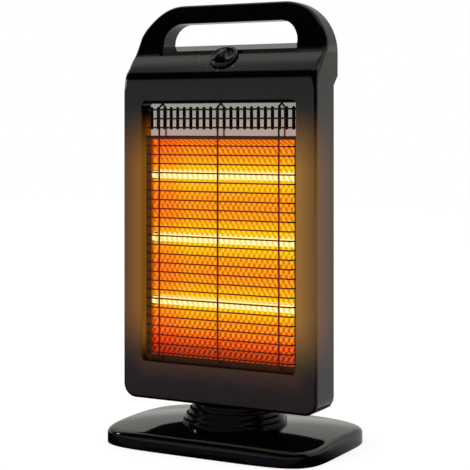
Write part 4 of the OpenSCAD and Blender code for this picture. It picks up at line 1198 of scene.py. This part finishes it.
# dial: the knob in its own frame, where Z stands out of the slanted panel, and its marks
dial = {
    "centre": (0.0, -27.5865, 467.8635), "slant": 45.0, "radius": 18.2, "low": 0.7, "skirt": 3.6, "edge": 0.6,
    "under": [(0.0, 4.0), (3.05, 4.0), (8.0, 3.0), (8.0, 0.7)],
    "rim": [(0.0, 0.9), (0.3, 0.3), (0.9, 0.0), (2.0, 0.1)],
    "crown": [(15.6, 4.6), (14.6, 5.9), (12.8, 7.2), (10.6, 8.3), (8.0, 9.15), (5.0, 9.75), (2.0, 9.98),
              (0.0, 10.0)],
    "scoopX": 12.2, "scoopZ": 12.6, "scoop": (9.4, 17.0, 8.8),
}
marks = {
    "turns": (180, 225, 270, 315, 0), "radius": 23.5, "wider": 2.2, "flatter": 0.93,
    "size": 5.2, "relief": 0.06, "above": 0.45,
    "line": [(-37.6, 7.5), (-30.2, -12.5), (-29.8, -12.5), (-37.2, 7.5)], "lineHeights": (0.08, 0.43),
}


# from the dial's own frame to the heater's
def ontoPanel(piece):
    turn = Matrix.Rotation(math.radians(dial["slant"]), 4, "X")
    piece.data.transform(Matrix.Translation([c * mm for c in dial["centre"]]) @ turn)


def makeKnob():
    d = dial
    r, edge = d["radius"], d["edge"]
    profile = d["under"][1:] + [(r - edge, d["low"]), (r, d["low"] + edge)]
    profile += [(r - inward, d["skirt"] - down) for inward, down in d["rim"]]
    piece = turned("knobCap", profile + d["crown"] + d["under"][:2], 96)
    for side in (-1, 1):
        bpy.ops.mesh.primitive_uv_sphere_add(segments=48, ring_count=24, radius=1,
                                             location=(side * d["scoopX"] * mm, 0, d["scoopZ"] * mm))
        scoop = bpy.context.object
        scoop.scale = [c * mm for c in d["scoop"]]
        freeze(scoop)
        cut(piece, scoop)
    roundEdges(piece, edge, 3, lambda middle: 1.0 if middle.z > d["skirt"] else 0.0, 24)
    ontoPanel(piece)
    paint(piece, knobBlack)
    smooth(piece, 35)
    return piece


knobCap = makeKnob()
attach(knobCap, "dial")
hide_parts("knob")


def numberMark(number, turn):
    m = marks
    bpy.ops.object.text_add(location=(0, 0, 0))
    text = bpy.context.object
    text.data.body = str(number)
    text.data.size = m["size"] * mm
    text.data.extrude = m["relief"] * mm
    text.data.align_x, text.data.align_y = "CENTER", "CENTER"
    pick(text)
    bpy.ops.object.convert(target="MESH")
    text = bpy.context.object
    c, s = math.cos(math.radians(turn)), math.sin(math.radians(turn))
    x, y = (m["radius"] + m["wider"] * abs(c)) * c, m["radius"] * s * m["flatter"]
    text.data.transform(Matrix.Translation((x * mm, y * mm, m["above"] * mm)))
    return text


def makeMarks():
    pieces = [numberMark(number, turn) for number, turn in enumerate(marks["turns"])]
    pieces.append(prism("bracketLine", marks["line"], "z", *marks["lineHeights"]))
    piece = joinPieces("dialMarks", pieces)
    ontoPanel(piece)
    paint(piece, markPale)
    return piece


dialMarks = makeMarks()
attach(dialMarks, "head")
print("dial made")


# CAD pieces that keep their shape
kept = {
    "base_plate": darkPlate, "cord_gland": footRubber, "slip_washer": phenolic, "pivot_tube": sheetSteel,
    "tube_screws": plainSteel, "base_screws": plainSteel, "retainer_washer": plainSteel,
    "retainer_nut": plainSteel, "slotted_arm": sheetSteel, "tip_switch": phenolic,
    "switch_bracket": sheetSteel, "tip_plunger": nylonWhite, "plunger_spring": plainSteel,
    "swivel_bush": nylonWhite, "swivel_screws": plainSteel, "bottom_bracket": sheetSteel,
    "motor_bracket": sheetSteel, "swivel_motor": sheetSteel, "motor_shaft": plainSteel,
    # the heat shield's near black is painted shade behind the vent slots
    "crank_disc": nylonWhite, "shell_screws": plainSteel, "vent_panel": brightSheet, "reflector": lampLitRim,
    "heat_shield": shieldShadeBlack, "lamp_bracket_left": sheetSteel, "lamp_bracket_right": sheetSteel,
    "thermal_cutout": sheetSteel, "terminal_block": nylonWhite, "rotary_switch": phenolic,
    "switch_nut": plainSteel, "switch_shaft": nylonWhite, "lead_switch": leadBlue,
    "lead_lamps_left": leadRed, "lead_lamps_right": leadRed, "lead_motor": leadGreen,
    "lead_supply_base": leadBlack, "lead_supply_head": leadBlack,
}
for number in range(1, 5):
    kept["rubber_foot_" + str(number)] = footRubber
for number in range(1, 7):
    kept["lamp_cap_" + str(number)] = ceramicWhite
for name, material in kept.items():
    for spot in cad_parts[name].material_slots:
        spot.material = material
print("CAD pieces finished")


# stage, in metres: a white floor and world for the camera, and bands of light that glossy black mirrors
floorLook = {
    "size": 9.0, "colour": (0.9, 0.9, 0.96, 1), "roughness": 0.9, "white": 1.15, "whiteShare": 0.6,
    "behind": (-0.05, 0.12, 0.0, 0.55), "foot": (-0.098, -0.115, 0.0, 0.09),
    "near": (-0.145, -0.168, 0.0, 0.38), "nearEnd": (-0.178, -0.192, 1.0, 0.2),
    "far": (-0.48, -0.62, 0.0, 0.2604),
}
worldLook = {
    "plain": 0.9, "colour": (1, 1, 0.94, 1), "behind": (-0.12, 0.12), "over": (0.78, 0.94, 0.0, 0.95),
    "overLeft": (-0.40, -0.56, 0.45, 1.0), "low": (0.066, 0.046, 0.0, 0.42), "lowLeft": (0.0, -0.3),
    "levels": [(0.0, 0.55), (0.05, 0.55), (0.08, 0.8), (0.12, 0.8), (0.2, 0.5), (0.45, 0.5), (0.57, 0.9),
               (1.0, 0.9)],
}
lights = {
    "softOver": {"place": (0.2, -0.4, 2.0), "size": 1.6, "power": 9.0, "mirrored": False},
    "smallLeft": {"place": (-1.5, -0.55, 0.62), "size": 0.16, "power": 1.6, "mirrored": True},
}
lightAim, lightColour = Vector((0, 0, 0.25)), (1.0, 0.97, 0.92)


def mixShaders(tree, share, first, second):
    node = tree.nodes.new("ShaderNodeMixShader")
    if isinstance(share, float):
        node.inputs[0].default_value = share
    else:
        tree.links.new(share, node.inputs[0])
    tree.links.new(first.outputs[0], node.inputs[1])
    tree.links.new(second.outputs[0], node.inputs[2])
    return node


# the camera sees the floor brightened, with its shadow; glossy black sees the bands; light sees plain paint
def makeFloor():
    look = floorLook
    bpy.ops.mesh.primitive_plane_add(size=look["size"])
    floor = bpy.context.object
    floor.name = "floor"
    material, tree, shader = newMaterial("floorPale")
    shader.inputs["Base Color"].default_value = look["colour"]
    shader.inputs["Roughness"].default_value = look["roughness"]
    shader.inputs["Specular IOR Level"].default_value = 0.0
    x, y, z = objectPlace(tree)
    behind, near, nearEnd, far, under = [fade(tree, y, *look[key])
                                         for key in ("behind", "near", "nearEnd", "far", "foot")]
    white, bands = tree.nodes.new("ShaderNodeEmission"), tree.nodes.new("ShaderNodeEmission")
    white.inputs["Strength"].default_value = look["white"]
    tree.links.new(plus(tree, behind, times(tree, near, nearEnd), far, under), bands.inputs["Strength"])
    rays = tree.nodes.new("ShaderNodeLightPath").outputs
    brightened = mixShaders(tree, look["whiteShare"], shader, white)
    byCamera = mixShaders(tree, rays["Is Camera Ray"], shader, brightened)
    byGloss = mixShaders(tree, rays["Is Glossy Ray"], byCamera, bands)
    tree.links.new(byGloss.outputs[0], tree.nodes["Material Output"].inputs["Surface"])
    paint(floor, material)


def makeWorld():
    look = worldLook
    world = bpy.context.scene.world or bpy.data.worlds.new("studio")
    bpy.context.scene.world = world
    world.use_nodes = True
    tree = world.node_tree
    tree.nodes.clear()
    direction = tree.nodes.new("ShaderNodeSeparateXYZ")
    tree.links.new(tree.nodes.new("ShaderNodeTexCoord").outputs["Generated"], direction.inputs[0])
    x, y, z = direction.outputs
    levels = ramp(tree, z, [(place, (level, level, level)) for place, level in look["levels"]])
    behind = times(tree, fade(tree, y, *look["behind"]), levels)
    over = times(tree, fade(tree, z, *look["over"]), fade(tree, x, *look["overLeft"]))
    low = times(tree, fade(tree, z, *look["low"]), fade(tree, x, *look["lowLeft"]))
    mirrored = sums(tree, "MAXIMUM", sums(tree, "MAXIMUM", behind, over), low)
    rays = tree.nodes.new("ShaderNodeLightPath").outputs
    glossy = rays["Is Glossy Ray"]
    level = plus(tree, times(tree, mirrored, glossy), times(tree, less(tree, 1.0, glossy), look["plain"]))
    plain, white = tree.nodes.new("ShaderNodeBackground"), tree.nodes.new("ShaderNodeBackground")
    plain.inputs["Color"].default_value = look["colour"]
    white.inputs["Color"].default_value = (1, 1, 1, 1)
    tree.links.new(level, plain.inputs["Strength"])
    seen = sums(tree, "MAXIMUM", rays["Is Camera Ray"], rays["Is Transmission Ray"])
    out = tree.nodes.new("ShaderNodeOutputWorld")
    tree.links.new(mixShaders(tree, seen, plain, white).outputs[0], out.inputs[0])


def makeLight(name, look):
    bpy.ops.object.light_add(type="AREA", location=look["place"])
    light = bpy.context.object
    light.name = name
    light.data.size = look["size"]
    light.data.energy = look["power"]
    light.data.color = lightColour
    light.rotation_euler = (lightAim - Vector(look["place"])).to_track_quat("-Z", "Y").to_euler()
    light.visible_glossy = look["mirrored"]


makeFloor()
makeWorld()
for name, look in lights.items():
    makeLight(name, look)
print("stage made")

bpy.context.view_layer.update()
deselectAll()
